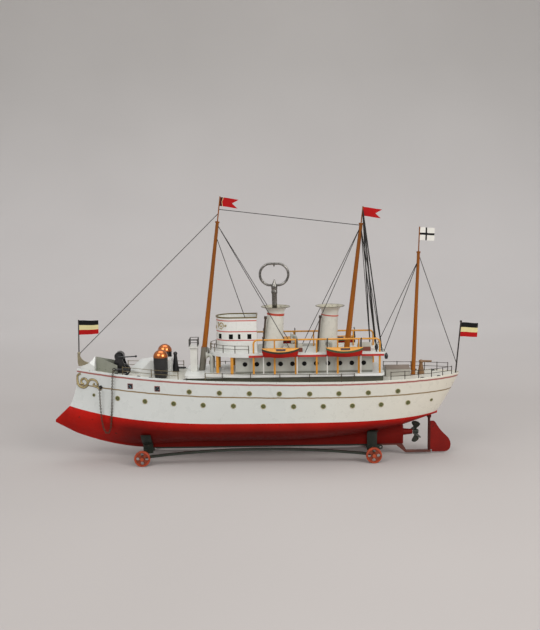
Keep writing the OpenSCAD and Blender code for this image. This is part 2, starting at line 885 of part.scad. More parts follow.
capstan_form = [[0, 0], [0.8, 0], [0.93, 0.1], [0.97, 0.25], [1, 0.6], [1, 1], [0, 1]];

module capstan_drums() {
  color("black")
    for (y = [-capstan_y, capstan_y])
      translate([capstan_x, y, deck_z(capstan_x) - embed])
        rotate_extrude()
          polygon([for (p = capstan_form) [capstan_r * p[0], capstan_h * p[1]]]);
}

module capstan_domes() {
  color("peru")
    for (y = [-capstan_y, capstan_y])
      translate([capstan_x, y, deck_z(capstan_x) - embed + capstan_h])
        rotate_extrude()
          intersection() {
            circle(capstan_r * 1.03);
            square(capstan_r * 2);
          }
}

windlass_x = -220;
windlass_z = 159;

module windlass() {
  foot = deck_z(windlass_x) - embed;
  color("black")
    translate([windlass_x, 0, 0]) {
      translate([0, 0, windlass_z])
        along_y(20)
          cylinder(r = 4, h = 20);
      translate([0, 0, windlass_z])
        along_y(12)
          cylinder(r = 7, h = 12);
      for (y = [-10, 8])
        translate([0, y + 2, 0])
          rotate([90, 0, 0])
            linear_extrude(2)
              polygon([[-12, foot], [12, foot], [12, foot + 2], [5, windlass_z - 2], [3, windlass_z + 5],
                [-3, windlass_z + 5], [-5, windlass_z - 2], [-12, foot + 2]]);
      rod([6, -10, windlass_z], [26, -10, windlass_z + 1], 0.9);
      rod([0, -10, windlass_z], [8, -10, windlass_z + 0.1], 1.6);
      translate([26, -10, windlass_z + 1])
        sphere(r = 1.7);
    }
}

anchor_at = [-202, -19.5, 142];
anchor_len = 22;
stock_half = 4.5;

module anchor() {
  r = 8;
  color("black")
    translate(anchor_at) {
      rod([-anchor_len, 0, 0], [0, 0, 0], 1.3);
      translate([-r, 0, 0])
        rotate([90, 0, 0])
          rotate([0, 0, -75])
            rotate_extrude(angle = 150)
              translate([r, 0])
                circle(1.3);
      for (a = [-1, 1])
        translate([-r + r * cos(75), 0, a * r * sin(75)])
          rotate([0, a * 15, 0])
            translate([-2.5, -2, -0.7])
              cube([4, 4, 1.4]);
      rod([-anchor_len + 4, -stock_half, 0], [-anchor_len + 4, stock_half, 0], 0.9);
      for (y = [-stock_half, stock_half])
        translate([-anchor_len + 4, y, 0])
          sphere(r = 1.5);
      translate([-anchor_len - 1.6, 0, 0])
        along_y(1.4)
          difference() {
            cylinder(r = 2.6, h = 1.4);
            translate([0, 0, -1])
              cylinder(r = 1.5, h = 4);
          }
    }
}

chain_r = 1;
ring_at = anchor_at + [-anchor_len - 1.6, 0, 0];
chain_start = [hawse_x - 0.9, -side_y(hawse_x, hawse_z) - 2, hawse_z];
chain_way = [chain_start, [-247.9, -22.5, 112], [-247.6, -23.5, 95], [-246.8, -24, 76], [-245.2, -24.2, 60],
  [-242, -24.4, 49], [-238, -24.6, 46.2], [-234.5, -24.8, 50], [-232, -25.2, 62], [-229.8, -26, 90],
  [-228, -27, 118], [-226.8, -27.4, 135], [-226, -26.2, 140.5], ring_at + [0, -1.6, 0]];

function along(way, i) = let (a = way[max(0, i - 1)], b = way[min(len(way) - 1, i + 1)])
  (b - a) / norm(b - a);
function ring_of(p, d, r) = let (s = cross(d, [0, 1, 0.001]), a = s / norm(s), b = cross(d, a))
  [for (k = [0:7]) p + r * (a * cos(45 * k) + b * sin(45 * k))];

module anchor_chain() {
  rings = [for (i = [0:len(chain_way) - 1]) ring_of(chain_way[i], along(chain_way, i), chain_r)];
  color("dimgray")
    loft(rings);
}

// Guns: distance along, distance out, pedestal height, barrel height
gun_list = [[-138.6, 23, 27, 6], [236, 3, 18, 19.5]];

module deck_guns() {
  color("black")
    for (g = gun_list)
      translate([g[0], g[1], deck_z(g[0]) - embed]) {
        cylinder(r1 = 5.5, r2 = 2.2, h = g[2]);
        translate([0, 0, g[2] + 1])
          sphere(r = 3.2);
        translate([-3, 0, g[3]])
          rotate([0, 90, 0])
            cylinder(r1 = 2, r2 = 1.2, h = 19);
      }
}

rail_h = 13;
rail_r = 0.6;
wire_r = 0.4;
rail_in = 2.2;
fore_rail_x = [-212, -168, -128];
side_rail_x = [-88, -63, -21.7, 21, 64.5, 111, 130];
aft_rail_x = [184, 205, 226, 246, 264, 279];
function rail_foot(x) = [x, -deck_half(x) + rail_in, deck_z(x) - embed];

// Wire between the axes of two posts, ending just inside them
module wire(a, b) {
  d = (b - a) / norm(b - a) * rail_r / 2;
  rod(a + d, b - d, wire_r);
}

module rail_run(xs) {
  for (x = xs)
    translate(rail_foot(x))
      cylinder(r = rail_r, h = rail_h + embed + rail_r);
  for (i = [0:len(xs) - 2])
    for (h = [rail_h * 0.55, rail_h])
      wire(rail_foot(xs[i]) + [0, 0, h], rail_foot(xs[i + 1]) + [0, 0, h]);
}

bridge_rail_in = 1.2;
bridge_rail_h = 11;
function bridge_point(a, h) = let (p = bridge_edge(a, bridge_rail_in)) [p[0], p[1], rim_top + h];

module guard_rails() {
  step = 20;
  color("dimgray") {
    both_sides() {
      rail_run(fore_rail_x);
      rail_run(side_rail_x);
      rail_run(aft_rail_x);
    }
    for (a = [90:step:270])
      translate(bridge_point(a, 0))
        cylinder(r = rail_r, h = bridge_rail_h + rail_r);
    for (h = [bridge_rail_h * 0.55, bridge_rail_h])
      for (a = [90:step:270 - step])
        wire(bridge_point(a, h), bridge_point(a + step, h));
  }
}

// Masts and flags

fore_foot = [-96, 0, prom_top];
main_foot = [122.7, 0, boat_top];
mizzen_foot = [223.5, 0, deck_z(223.5) - embed];
fore_lean = 0.127;
main_lean = 0.1165;
mizzen_lean = 0.0363;
fore_pole = 38;
main_pole = 26;
mizzen_pole = 38;
pole_r = 0.9;
sleeve_h = 36;
function up_mast(foot, lean, h) = foot + [lean * h, 0, h];

module mast(foot, lean, h, r0, r1, pole, sleeve) {
  a = atan(lean);
  difference() {
    translate(foot)
      rotate([0, a, 0]) {
        translate([0, 0, -3])
          cylinder(r1 = r0, r2 = r1, h = h / cos(a) + 3);
        translate([0, 0, h / cos(a) - 1])
          cylinder(r = r1 * 1.35, h = 2.5);
        cylinder(r = pole_r, h = (h + pole) / cos(a));
        translate([0, 0, -3])
          cylinder(r = sleeve, h = sleeve_h + 3);
      }
    translate(foot + [-20, -20, -20])
      cube([40, 40, 20]);
  }
}

module masts() {
  color("saddlebrown") {
    mast(fore_foot, fore_lean, fore_h, mast_r * 1.02, mast_r * 0.6, fore_pole, mast_r * 1.2);
    mast(main_foot, main_lean, main_h, mast_r * 1.1, mast_r * 0.62, main_pole, mast_r);
    mast(mizzen_foot, mizzen_lean, mizzen_h, mast_r * 0.82, mast_r * 0.55, mizzen_pole, mast_r * 0.7);
  }
}

jack_x = stem_top_x + 4.1;
jack_z = back_z + 0.3;
jack_top = 215;
jack_foot = jack_z + 10;
jack_ball = jack_z + 18;
jack_lean = 0.03;
function jack_at(z) = jack_x + jack_lean * (z - jack_foot);
staff_foot = [288, 0, deck_z(288) - embed];
staff_top = [295, 0, 204];

bracket = [[-1, -1], [-2, 5], [-2, 16], [1, 16], [2.2, 12.5], [4, 9.5], [6.4, 7.2], [9, 5.5], [13, 4],
  [17, 3.2], [17, 0]];

module flagstaffs() {
  color("saddlebrown") {
    along_y(3)
      linear_extrude(3)
        polygon([for (p = bracket) [jack_x + p[0], jack_z + p[1]]]);
    rod([jack_x, 0, jack_foot], [jack_at(jack_top), 0, jack_top], pole_r);
    translate([jack_at(jack_ball), 0, jack_ball])
      sphere(r = 2.6);
    rod(staff_foot, staff_top, pole_r * 1.2);
    translate(staff_top)
      sphere(r = 1.8);
  }
}

module tin(points) {
  along_y(flag_t)
    linear_extrude(flag_t)
      polygon(points);
}

module swallowtail(top, lean, length) {
  x = top[0];
  z = top[2];
  h = 13;
  tin([[x, z], [x - lean * h, z - h], [x + length - 1.5, z - h - 4],
    [x + length * 0.68, z - h * 0.55 - 2], [x + length, z - 4]]);
}

module flags() {
  fore_top = up_mast(fore_foot, fore_lean, fore_h + fore_pole - 1);
  main_top = up_mast(main_foot, main_lean, main_h + main_pole - 1);
  mizzen_top = up_mast(mizzen_foot, mizzen_lean, mizzen_h + mizzen_pole - 1);
  color("red") {
    swallowtail(fore_top, fore_lean, 27);
    swallowtail(main_top, main_lean, 28);
  }
  color("white")
    tin([[mizzen_top[0], mizzen_top[2]], [mizzen_top[0] - mizzen_lean * 19, mizzen_top[2] - 19],
      [mizzen_top[0] + 22, mizzen_top[2] - 20], [mizzen_top[0] + 22.5, mizzen_top[2] - 1]]);
  color("beige") {
    tin([[jack_at(jack_top - 1), jack_top - 1], [jack_at(jack_top - 23), jack_top - 23],
      [jack_at(jack_top) + 29, jack_top - 21.3], [jack_at(jack_top) + 29.5, jack_top - 1]]);
    tin([[staff_top[0] - 0.1, staff_top[2] - 1.5], [staff_top[0] - 2.4, staff_top[2] - 23],
      [fly_x - 1.2, staff_top[2] - 24], [fly_x, staff_top[2] - 3]]);
  }
}

stay_list = [
  [up_mast(fore_foot, fore_lean, fore_h + 13), [jack_x, 0, jack_ball - 1.5]],
  [up_mast(fore_foot, fore_lean, fore_h + 19), up_mast(main_foot, main_lean, main_h - 2)],
  [up_mast(fore_foot, fore_lean, fore_h - 20), [wheel_x + 20, -wheelhouse_r, rim_top + wheelhouse_h + 1]],
  [up_mast(mizzen_foot, mizzen_lean, mizzen_h - 2), staff_foot + [1.4, 0, 14]]];
shroud_list = [
  [up_mast(fore_foot, fore_lean, fore_h - 3), 40],
  [up_mast(main_foot, main_lean, main_h - 3), 58],
  [up_mast(main_foot, main_lean, main_h - 3), 163],
  [up_mast(main_foot, main_lean, main_h - 3), 171],
  [up_mast(mizzen_foot, mizzen_lean, mizzen_h - 12), 174.5]];

module rigging() {
  color("black") {
    for (s = stay_list)
      rod(s[0], s[1], thread_r);
    both_sides()
      for (s = shroud_list)
        rod(s[0], [s[1], s[1] > 172 ? -boat_half + 7 : -boat_half + rim_t / 2, rim_top - embed], thread_r);
  }
}

// Clockwork

plate_x0 = -20;
plate_x1 = 95;
plate_half = 30;
low_plate_z = 62;
high_plate_z = 98;
plate_t = 2;
great_teeth = 48;
pinion_teeth = 12;
crown_teeth = 36;
second_x = arbor_x + gear_m * (great_teeth + pinion_teeth) / 2 + 0.2;
second_r = 2;
pivot_r = 1.5;
crown_r = gear_m * crown_teeth / 2;
shaft_x0 = second_x + crown_r - 4;
bearing_x = second_x + crown_r + 7;
pillar_list = [[-14, -25], [-14, 25], [88, -25], [88, 25]];
pillar_r = 2.5;

module gear_plan(teeth, phase) {
  r = gear_m * teeth / 2;
  step = 360 / teeth;
  polygon([for (i = [0:teeth - 1]) let (a = phase + i * step)
    each [for (p = [[-0.23, -1.2], [-0.11, 0.8], [0.11, 0.8], [0.23, -1.2]])
      (r + p[1] * gear_m) * [cos(a + p[0] * step), sin(a + p[0] * step)]]]);
}

module movement_plates() {
  color("goldenrod") {
    difference() {
      translate([plate_x0, -plate_half, low_plate_z])
        cube([plate_x1 - plate_x0, 2 * plate_half, plate_t]);
      translate([arbor_x, 0, low_plate_z - 1])
        cylinder(r = pivot_r + run_gap, h = 4);
      translate([second_x, 0, low_plate_z - 1])
        cylinder(r = second_r + run_gap, h = 4);
    }
    difference() {
      translate([plate_x0, -plate_half, high_plate_z])
        cube([plate_x1 - plate_x0, 2 * plate_half, plate_t]);
      translate([arbor_x, 0, high_plate_z - 1])
        cylinder(r = arbor_r + run_gap, h = 4);
      translate([second_x, 0, high_plate_z - 1])
        cylinder(r = pivot_r + run_gap, h = 4);
    }
    difference() {
      translate([bearing_x, -6, shaft_z - 5])
        cube([2, 12, low_plate_z - shaft_z + 5]);
      translate([bearing_x - 1, 0, shaft_z])
        rotate([0, 90, 0])
          cylinder(r = shaft_r + run_gap, h = 4);
    }
  }
}

module movement_pillars() {
  color("goldenrod")
    for (p = pillar_list) {
      translate([p[0], p[1], low_plate_z + plate_t])
        cylinder(r = pillar_r, h = high_plate_z - low_plate_z - plate_t);
      translate([p[0], p[1], high_plate_z + plate_t])
        cylinder(r = pillar_r, h = deck_z(p[0]) - deck_t + embed - high_plate_z - plate_t);
    }
}

square_z0 = boat_top + 42;
square_z1 = square_z0 + 22;
great_z = 68;
great_t = 3;
ratchet_n = 20;
ratchet_r = 10;

module winding_arbor() {
  color("silver")
    translate([arbor_x, 0, 0]) {
      translate([0, 0, low_plate_z + 0.2])
        cylinder(r = pivot_r, h = 4);
      translate([0, 0, low_plate_z + plate_t + 0.3])
        cylinder(r = 5, h = great_z - low_plate_z - plate_t - 0.6);
      translate([0, 0, low_plate_z + plate_t + 0.3])
        cylinder(r = arbor_r, h = square_z0 - low_plate_z - plate_t - 0.3);
      translate([-square_w / 2, -square_w / 2, square_z0 - 1])
        cube([square_w, square_w, square_z1 - square_z0 + 1]);
      translate([0, 0, great_z + great_t + 0.4])
        linear_extrude(2.5)
          polygon([for (i = [0:ratchet_n - 1]) let (a = 360 / ratchet_n * i)
            each [ratchet_r * [cos(a), sin(a)], ratchet_r * 0.75 * [cos(a + 2), sin(a + 2)]]]);
    }
}

spring_z = 79;
spring_h = 13;
spring_t = 0.6;
spring_turns = 4;
spring_in_r = arbor_r + 0.6;
spring_out_r = 22;
tail = pillar_list[1] - [arbor_x, 0];
tail_angle = atan2(tail[1], tail[0]);
tail_r = norm(tail) - pillar_r + embed / 2;

module mainspring() {
  n = 24 * spring_turns;
  way = [for (i = [0:n]) [mix(spring_in_r, spring_out_r, i / n), tail_angle + 15 * i - 360 * spring_turns]];
  full = concat(way, [[tail_r, tail_angle]]);
  inner = [for (p = full) p[0] * [cos(p[1]), sin(p[1])]];
  outer = [for (p = flip(full)) p[0] * [cos(p[1]), sin(p[1])] + spring_t * [cos(p[1] - 45), sin(p[1] - 45)]];
  color("steelblue")
    translate([arbor_x, 0, spring_z])
      linear_extrude(spring_h)
        polygon(concat(inner, outer));
}

module great_wheel() {
  color("goldenrod")
    translate([arbor_x, 0, great_z])
      difference() {
        linear_extrude(great_t)
          gear_plan(great_teeth, 0);
        translate([0, 0, -1])
          cylinder(r = arbor_r + run_gap, h = great_t + 2);
        for (a = [30:60:330])
          rotate([0, 0, a])
            translate([15, 0, -1])
              cylinder(r = 4.5, h = great_t + 2);
      }
}

crown_z = shaft_z + gear_m * pinion_teeth / 2;

module second_arbor() {
  color("goldenrod")
    translate([second_x, 0, 0]) {
      translate([0, 0, crown_z + 2])
        cylinder(r = second_r, h = high_plate_z - crown_z - 2.3);
      translate([0, 0, high_plate_z - 1])
        cylinder(r = pivot_r, h = 2.8);
      translate([0, 0, great_z - 1])
        linear_extrude(great_t + 2)
          gear_plan(pinion_teeth, 15);
      translate([0, 0, crown_z + 2])
        cylinder(r = crown_r + 2.5, h = 3);
      for (i = [0:crown_teeth - 1])
        rotate([0, 0, 360 / crown_teeth * i])
          translate([crown_r - 2, -0.35, crown_z - 0.8])
            cube([4, 0.7, 3.3]);
    }
}

prop_x = 224;
hub_l = 8;

module prop_shaft() {
  color("silver") {
    translate([shaft_x0, 0, shaft_z])
      rotate([0, 90, 0])
        cylinder(r = shaft_r, h = prop_x + hub_l + 1.5 - shaft_x0);
    translate([second_x + crown_r - 1.8, 0, shaft_z])
      rotate([0, 90, 0])
        linear_extrude(3.6)
          gear_plan(pinion_teeth, 15);
  }
}

module stern_tube() {
  color("firebrick")
    translate([tube_x0, 0, shaft_z])
      rotate([0, 90, 0])
        difference() {
          union() {
            cylinder(r = tube_r, h = tube_x1 - tube_x0);
            translate([0, 0, post_x + stern_plate_t - tube_x0])
              cylinder(r1 = boss_r, r2 = boss_end_r, h = tube_x1 - post_x - stern_plate_t);
          }
          translate([0, 0, -1])
            cylinder(r = shaft_r + run_gap, h = tube_x1 - tube_x0 + 2);
        }
}

prop_turn = 10;
blade_n = 4;
blade_t = 1.1;
blade_half = 6.8;
blade_pitch = 58;
hub_r = 3.4;
function blade_w(t) = max(t < 0.5 ? 1.5 : 0, blade_half * pow(sin(180 * pow(t, 2.2)), 0.65));

module prop_blade() {
  n = 16;
  side = [for (i = [1:n - 1]) [mix(hub_r - 1, prop_r, i / n), blade_w(i / n)]];
  polygon(concat([[hub_r - 1, 1.5]], side, [[prop_r, 0]],
    [for (p = flip(side)) [p[0], -p[1]]], [[hub_r - 1, -1.5]]));
}

module propeller() {
  color("darkslategray")
    translate([prop_x, 0, shaft_z])
      rotate([0, 90, 0])
        difference() {
          union() {
            cylinder(r = hub_r, h = hub_l);
            for (i = [0:blade_n - 1])
              rotate([0, 0, prop_turn + 360 / blade_n * i])
                translate([0, 0, hub_l / 2])
                  rotate([blade_pitch, 0, 0])
                    linear_extrude(blade_t, center = true)
                      prop_blade();
          }
          translate([0, 0, -1])
            cylinder(r = shaft_r, h = hub_l + 2);
        }
}

gudgeon_z = 57;

module rudder_gudgeon() {
  color("firebrick")
    translate([rudder_x, 0, gudgeon_z])
      difference() {
        cylinder(r = rudder_r + 1.4, h = body_low(rudder_x) - gudgeon_z + embed);
        translate([0, 0, -1])
          cylinder(r = rudder_r + run_gap, h = 30);
      }
}

blade = [[0, 44.6], [4, 45.3], [8, 45], [10.5, 42], [12.5, 38.6], [15, 34.8], [18, 30.8], [21, 27.4],
  [24.5, 24], [28, 20.6], [30.8, 17], [32.6, 12.6], [33.4, 8.4], [33, 4.2], [31.4, 0.7], [28.6, -2],
  [24.5, -3], [5, -3], [5, 0.5], [0, 0.5]];

module rudder() {
  color("firebrick") {
    translate([rudder_x, 0, heel_low + 0.5])
      cylinder(r = pintle_r, h = heel_t + 2);
    translate([rudder_x, 0, heel_low + heel_t + 0.3])
      cylinder(r = rudder_r, h = body_low(rudder_x - rudder_r) - 0.6 - heel_low - heel_t - 0.3);
    along_y(1.8)
      linear_extrude(1.8)
        polygon([for (p = blade) [rudder_x + p[0], heel_low + heel_t + p[1]]]);
  }
}

key_gap = 0.1;
key_z0 = square_z0 + 1.5;
key_len = 44.5;
key_neck = key_z0 + key_len;
key_bow_z = key_neck + 28;
lobe_x = 5;
cusp_half = 2.6;
bow_w = 3.6;
bow_t = 3.4;
neck_r = 4.6;
finial_r = 3.9;
finial_h = 7;

module key() {
  color("lightsteelblue")
    translate([arbor_x, 0, 0]) {
      difference() {
        union() {
          translate([0, 0, key_z0])
            cylinder(r = square_w / 2 * 1.414 + 1.3, h = key_neck - key_z0);
          translate([0, 0, key_neck - embed])
            cylinder(r = neck_r, h = key_bow_z - key_lobe_r + bow_w / 2 - key_neck + embed);
        }
        translate([-square_w / 2 - key_gap, -square_w / 2 - key_gap, key_z0 - 1])
          cube([square_w + 2 * key_gap, square_w + 2 * key_gap, square_z1 - key_z0 + 1.5]);
      }
      translate([0, 0, key_bow_z - key_lobe_r + bow_w / 2])
        cylinder(r1 = finial_r, r2 = 0.6, h = finial_h + bow_w / 2);
      translate([0, 0, key_bow_z])
        along_y(bow_t)
          linear_extrude(bow_t)
            difference() {
              union() {
                for (x = [-lobe_x, lobe_x])
                  translate([x, 0])
                    circle(key_lobe_r);
                square([2 * lobe_x, 2 * key_lobe_r], center = true);
              }
              difference() {
                for (x = [-lobe_x, lobe_x])
                  translate([x, 0])
                    circle(key_lobe_r - bow_w);
                polygon([[-cusp_half, key_lobe_r], [cusp_half, key_lobe_r], [0, key_lobe_r - bow_w - 3.5]]);
              }
            }
    }
}

// Carriage

axle_xs = [-184.5, 159];
saddle_xs = [-180.5, 160.5];
axle_z = wheel_r;
axle_end = wheel_in + wheel_w + 1.6;
bar_in = wheel_in - 5.5;
bar_w = 4.5;
saddle_top = 44;
saddle_gap = 1.1;
saddle_t = 2.4;

module axles() {
  color("dimgray")
    for (x = axle_xs)
      translate([x, 0, axle_z]) {
        along_y(2 * axle_end)
          cylinder(r = axle_r, h = 2 * axle_end);
        both_sides()
          translate([0, -axle_end + 0.6, 0])
            along_y(1.2)
              cylinder(r = axle_r + 1.3, h = 1.2);
      }
}

function saddle_y(x, z) = max(hull_y(x - saddle_w / 2, z), hull_y(x + saddle_w / 2, z)) + saddle_gap;

module saddle_cheek(i) {
  x = saddle_xs[i];
  low = axle_z - 3;
  n = 24;
  zs = [for (k = [0:n]) mix(low, saddle_top, k / n)];
  ys = [for (z = zs) saddle_y(x, z)];
  difference() {
    union() {
      translate([x - saddle_w / 2, 0, 0])
        rotate([90, 0, 90])
          linear_extrude(saddle_w)
            polygon(concat(
              [for (k = [0:n]) [-ys[k], zs[k]]],
              [for (k = [n:-1:0]) [-ys[k] - saddle_t, zs[k]]]));
      translate([axle_xs[i], -fin_half - 3, axle_z])
        along_y(6)
          cylinder(r = axle_r + 2.4, h = 6);
    }
    translate([axle_xs[i], 0, axle_z])
      along_y(60)
        cylinder(r = axle_r, h = 60);
  }
}

tow_wall = 1.8;
tow_x = axle_xs[1] + wheel_r + tow_r + 1.2;
tow_y = -fin_half - saddle_gap - saddle_t / 2;
tow_z = axle_z + 1.5;

module carriage_saddles() {
  tow_foot = saddle_xs[1] + saddle_w / 2 - 1;
  color("darkslategray") {
    both_sides()
      saddle_cheek(0);
    mirror([0, 1, 0])
      saddle_cheek(1);
    difference() {
      union() {
        saddle_cheek(1);
        translate([tow_x, tow_y, tow_z])
          along_y(saddle_t)
            cylinder(r = tow_r + tow_wall, h = saddle_t);
        translate([tow_foot, tow_y - saddle_t / 2, tow_z - tow_r - tow_wall])
          cube([tow_x - tow_foot, saddle_t, 2 * tow_r + 2 * tow_wall]);
      }
      translate([tow_x, tow_y, tow_z])
        along_y(3 * saddle_t)
          cylinder(r = tow_r, h = 3 * saddle_t);
    }
  }
}

module side_bars() {
  n = 16;
  rise = 10.5;
  mid = (axle_xs[0] + axle_xs[1]) / 2;
  half = (axle_xs[1] - axle_xs[0]) / 2;
  t = 3.2;
  arch = [for (i = [0:n]) let (s = -1 + 2 * i / n) [mid + half * s, axle_z + rise * (1 - s * s)]];
  color("darkslategray")
    both_sides()
      translate([0, -bar_in - bar_w / 2, 0])
        difference() {
          union() {
            along_y(bar_w)
              linear_extrude(bar_w)
                polygon(concat([for (p = arch) p + [0, t / 2]], [for (p = flip(arch)) p - [0, t / 2]]));
            for (x = axle_xs)
              translate([x, 0, axle_z])
                along_y(bar_w)
                  cylinder(r = axle_r + 2.2, h = bar_w);
          }
          for (x = axle_xs)
            translate([x, 0, axle_z])
              along_y(bar_w + 2)
                cylinder(r = axle_r, h = bar_w + 2);
        }
}

module wheel(x, side) {
  hole_r = wheel_r * 0.21;
  color("orangered")
    translate([x, side * (wheel_in + wheel_w / 2), axle_z])
      along_y(wheel_w)
        difference() {
          union() {
            rotate_extrude()
              polygon([[0, wheel_w * 0.25], [wheel_r - 2.6, wheel_w * 0.25], [wheel_r - 2.2, 0],
                [wheel_r - 0.6, 0], [wheel_r, 0.6], [wheel_r, wheel_w - 0.6], [wheel_r - 0.6, wheel_w],
                [wheel_r - 2.2, wheel_w], [wheel_r - 2.6, wheel_w * 0.75], [0, wheel_w * 0.75]]);
            cylinder(r = axle_r + 2, h = wheel_w);
          }
          translate([0, 0, -1])
            cylinder(r = axle_r + run_gap, h = wheel_w + 2);
          for (a = [0:90:270])
            rotate([0, 0, a])
              translate([wheel_r * 0.56, 0, -1])
                cylinder(r = hole_r, h = wheel_w + 2);
        }
}

module wheel_fore_port() wheel(axle_xs[0], -1);
module wheel_fore_starboard() wheel(axle_xs[0], 1);
module wheel_aft_port() wheel(axle_xs[1], -1);
module wheel_aft_starboard() wheel(axle_xs[1], 1);

hull_topsides();
hull_bottom();
ram();
counter();
stern_post();
keel_bar();
main_deck();
bow_whaleback();
breakwater();
bow_scrolls();
porthole_rims();
hawse_pipes();
plinth();
promenade_plate();
deckhouse();
boat_deck();
house_posts();
awning_rails();
bridge_deck();
wheelhouse();
wheelhouse_rim();
funnels();
steam_pipes();
skylights();
cowl_vents();
lookout_stand();
davits();
lifeboat_hulls();
lifeboat_covers();
fore_hatch();
capstan_drums();
capstan_domes();
windlass();
anchor();
anchor_chain();
deck_guns();
guard_rails();
masts();
flagstaffs();
flags();
rigging();
movement_plates();
movement_pillars();
winding_arbor();
mainspring();
great_wheel();
second_arbor();
prop_shaft();
stern_tube();
propeller();
rudder_gudgeon();
rudder();
key();
axles();
carriage_saddles();
side_bars();
wheel_fore_port();
wheel_fore_starboard();
wheel_aft_port();
wheel_aft_starboard();
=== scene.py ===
import math

import bmesh
import bpy
from mathutils import Matrix, Vector


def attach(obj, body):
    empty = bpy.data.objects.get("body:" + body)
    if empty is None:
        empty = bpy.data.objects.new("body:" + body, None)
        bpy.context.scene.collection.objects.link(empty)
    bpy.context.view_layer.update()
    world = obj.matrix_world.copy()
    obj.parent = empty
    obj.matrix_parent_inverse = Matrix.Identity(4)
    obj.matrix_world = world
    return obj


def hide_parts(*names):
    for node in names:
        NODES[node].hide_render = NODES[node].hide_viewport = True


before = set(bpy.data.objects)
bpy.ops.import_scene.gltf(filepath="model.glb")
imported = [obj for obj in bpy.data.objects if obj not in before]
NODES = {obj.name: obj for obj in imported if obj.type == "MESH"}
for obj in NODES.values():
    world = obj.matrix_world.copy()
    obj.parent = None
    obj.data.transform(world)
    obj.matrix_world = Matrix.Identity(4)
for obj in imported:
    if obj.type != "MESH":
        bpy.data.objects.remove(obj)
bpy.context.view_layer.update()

scene = bpy.context.scene
MM = 0.001

# Camera, fitted to the photograph

CAMERA_AT = (0.008, -1.25, 0.387)
CAMERA_PITCH, CAMERA_ROLL = math.radians(7.7), math.radians(0.87)
CAMERA_LENS, CAMERA_SENSOR = 48, 36


def make_camera():
    look = Vector((0, math.cos(CAMERA_PITCH), -math.sin(CAMERA_PITCH)))
    level_up = Vector((0, math.sin(CAMERA_PITCH), math.cos(CAMERA_PITCH)))
    level_right = Vector((1, 0, 0))
    right = level_right * math.cos(CAMERA_ROLL) - level_up * math.sin(CAMERA_ROLL)
    up = level_right * math.sin(CAMERA_ROLL) + level_up * math.cos(CAMERA_ROLL)
    data = bpy.data.cameras.new("camera")
    data.sensor_fit = "AUTO"
    data.sensor_width = CAMERA_SENSOR
    data.lens = CAMERA_LENS
    cam = bpy.data.objects.new("camera", data)
    scene.collection.objects.link(cam)
    m = Matrix((right, up, -look)).transposed().to_4x4()
    m.translation = Vector(CAMERA_AT)
    cam.matrix_world = m
    scene.camera = cam


make_camera()
scene.view_settings.view_transform = "Standard"

# Main sizes, the same as in the part's source, in millimetres

BOW, STEM_LOW, STEM_TOP = -321.0, -299.0, -285.6
STERN_LOW, STERN_TOP = 260.6, 294.0
RAM_END, POST = -290.0, 206.0
RAM_TIP_LOW, RAM_TIP_TOP = 58.5, 62.5
RAM_BULGE, RAM_BULGE_RUN = 5, 31
RAM_BULGE_END, RAM_BULGE_FADE = -230, 60
HALF_BEAM, FOOT_SHARE = 50, 0.93
ENTRY_SHARE, RUN_SHARE = 0.42, 0.6
SHELL = 1.2
SHEER_LOW, SHEER_X, SHEER_CURVE = 124.0, 120.0, 0.0001
DECK_DROP = 1
PAINT_LOW, PAINT_X = 63.0, 90.0
PAINT_AHEAD, PAINT_AFT = 8.7e-10, 1.12e-6
KEEL_LOW, KEEL_RISE = 17.5, 22.5
KEEL_BEND, KEEL_RUN = -170, 115
FIN_BOW_H, FIN_H = 2.0, 8.5
FIN_FORE, FIN_FULL, FIN_AFT = -250, -100, 40
FIN_BOW_HALF, FIN_HALF, FIN_RUN = 1.5, 4.5, 120
COUNTER_Z, COUNTER_END_Z = 45.8, 64.3
PROM_TOP, BOAT_TOP = 135.5, 163
BOAT_HALF, BOAT_AFT = 42.5, 178
LIFEBOAT_Z = 162
HOUSE_HALF, HOUSE_H = 33.0, 25.5
WHEELHOUSE_X, WHEELHOUSE_R = -49, 24.0
WHEELHOUSE_Z, WHEELHOUSE_H = 167, 50
FUNNEL_TILT = math.radians(5.5)
AXLE_FORE, AXLE_AFT, WHEEL_R = -184.5, 159.0, 11.8
KEY_X = 15.0
MAIN_X, MIZZEN_X, FORE_X = 122.7, 223.5, -96
FORE_RAKE, MAIN_RAKE, MIZZEN_RAKE, JACK_LEAN = 0.127, 0.1165, 0.0363, 0.03


def mix(a, b, t):
    return a + (b - a) * t


def unit(t):
    return max(0.0, min(1.0, t))


# Hull form, the same functions as in the part's source

def sheer_z(x):
    return SHEER_LOW + SHEER_CURVE * (x - SHEER_X) ** 2


def deck_z(x):
    return sheer_z(x) - DECK_DROP


def paint_z(x):
    """Height of the line between white and red."""
    if x < PAINT_X:
        return PAINT_LOW + PAINT_AHEAD * (PAINT_X - x) ** 4
    return PAINT_LOW + PAINT_AFT * (x - PAINT_X) ** 3


def stem_x(r):
    return STEM_TOP - (STEM_TOP - STEM_LOW) * max(0.0, 1 - r) ** 2.2


def stern_x(r):
    return STERN_LOW + (STERN_TOP - STERN_LOW) * r ** 0.85


def fullness(u):
    """Share of the half beam at the share u of the length."""
    if u <= 0 or u >= 1:
        return 0.0
    if u < ENTRY_SHARE:
        return 1 - (1 - u / ENTRY_SHARE) ** 2.2
    if u < RUN_SHARE:
        return 1.0
    return (1 - ((u - RUN_SHARE) / (1 - RUN_SHARE)) ** 2.6) ** 0.62


def half_at(r):
    return HALF_BEAM * mix(FOOT_SHARE, 1, r)


def plan_u(x, r):
    return (x - stem_x(r)) / (stern_x(r) - stem_x(r))


def topsides_r(x, z):
    """Share of the height between the paint line and the sheer."""
    return unit((z - paint_z(x)) / (sheer_z(x) - paint_z(x)))


def side_y(x, z):
    r = topsides_r(x, z)
    return half_at(r) * fullness(plan_u(x, r))


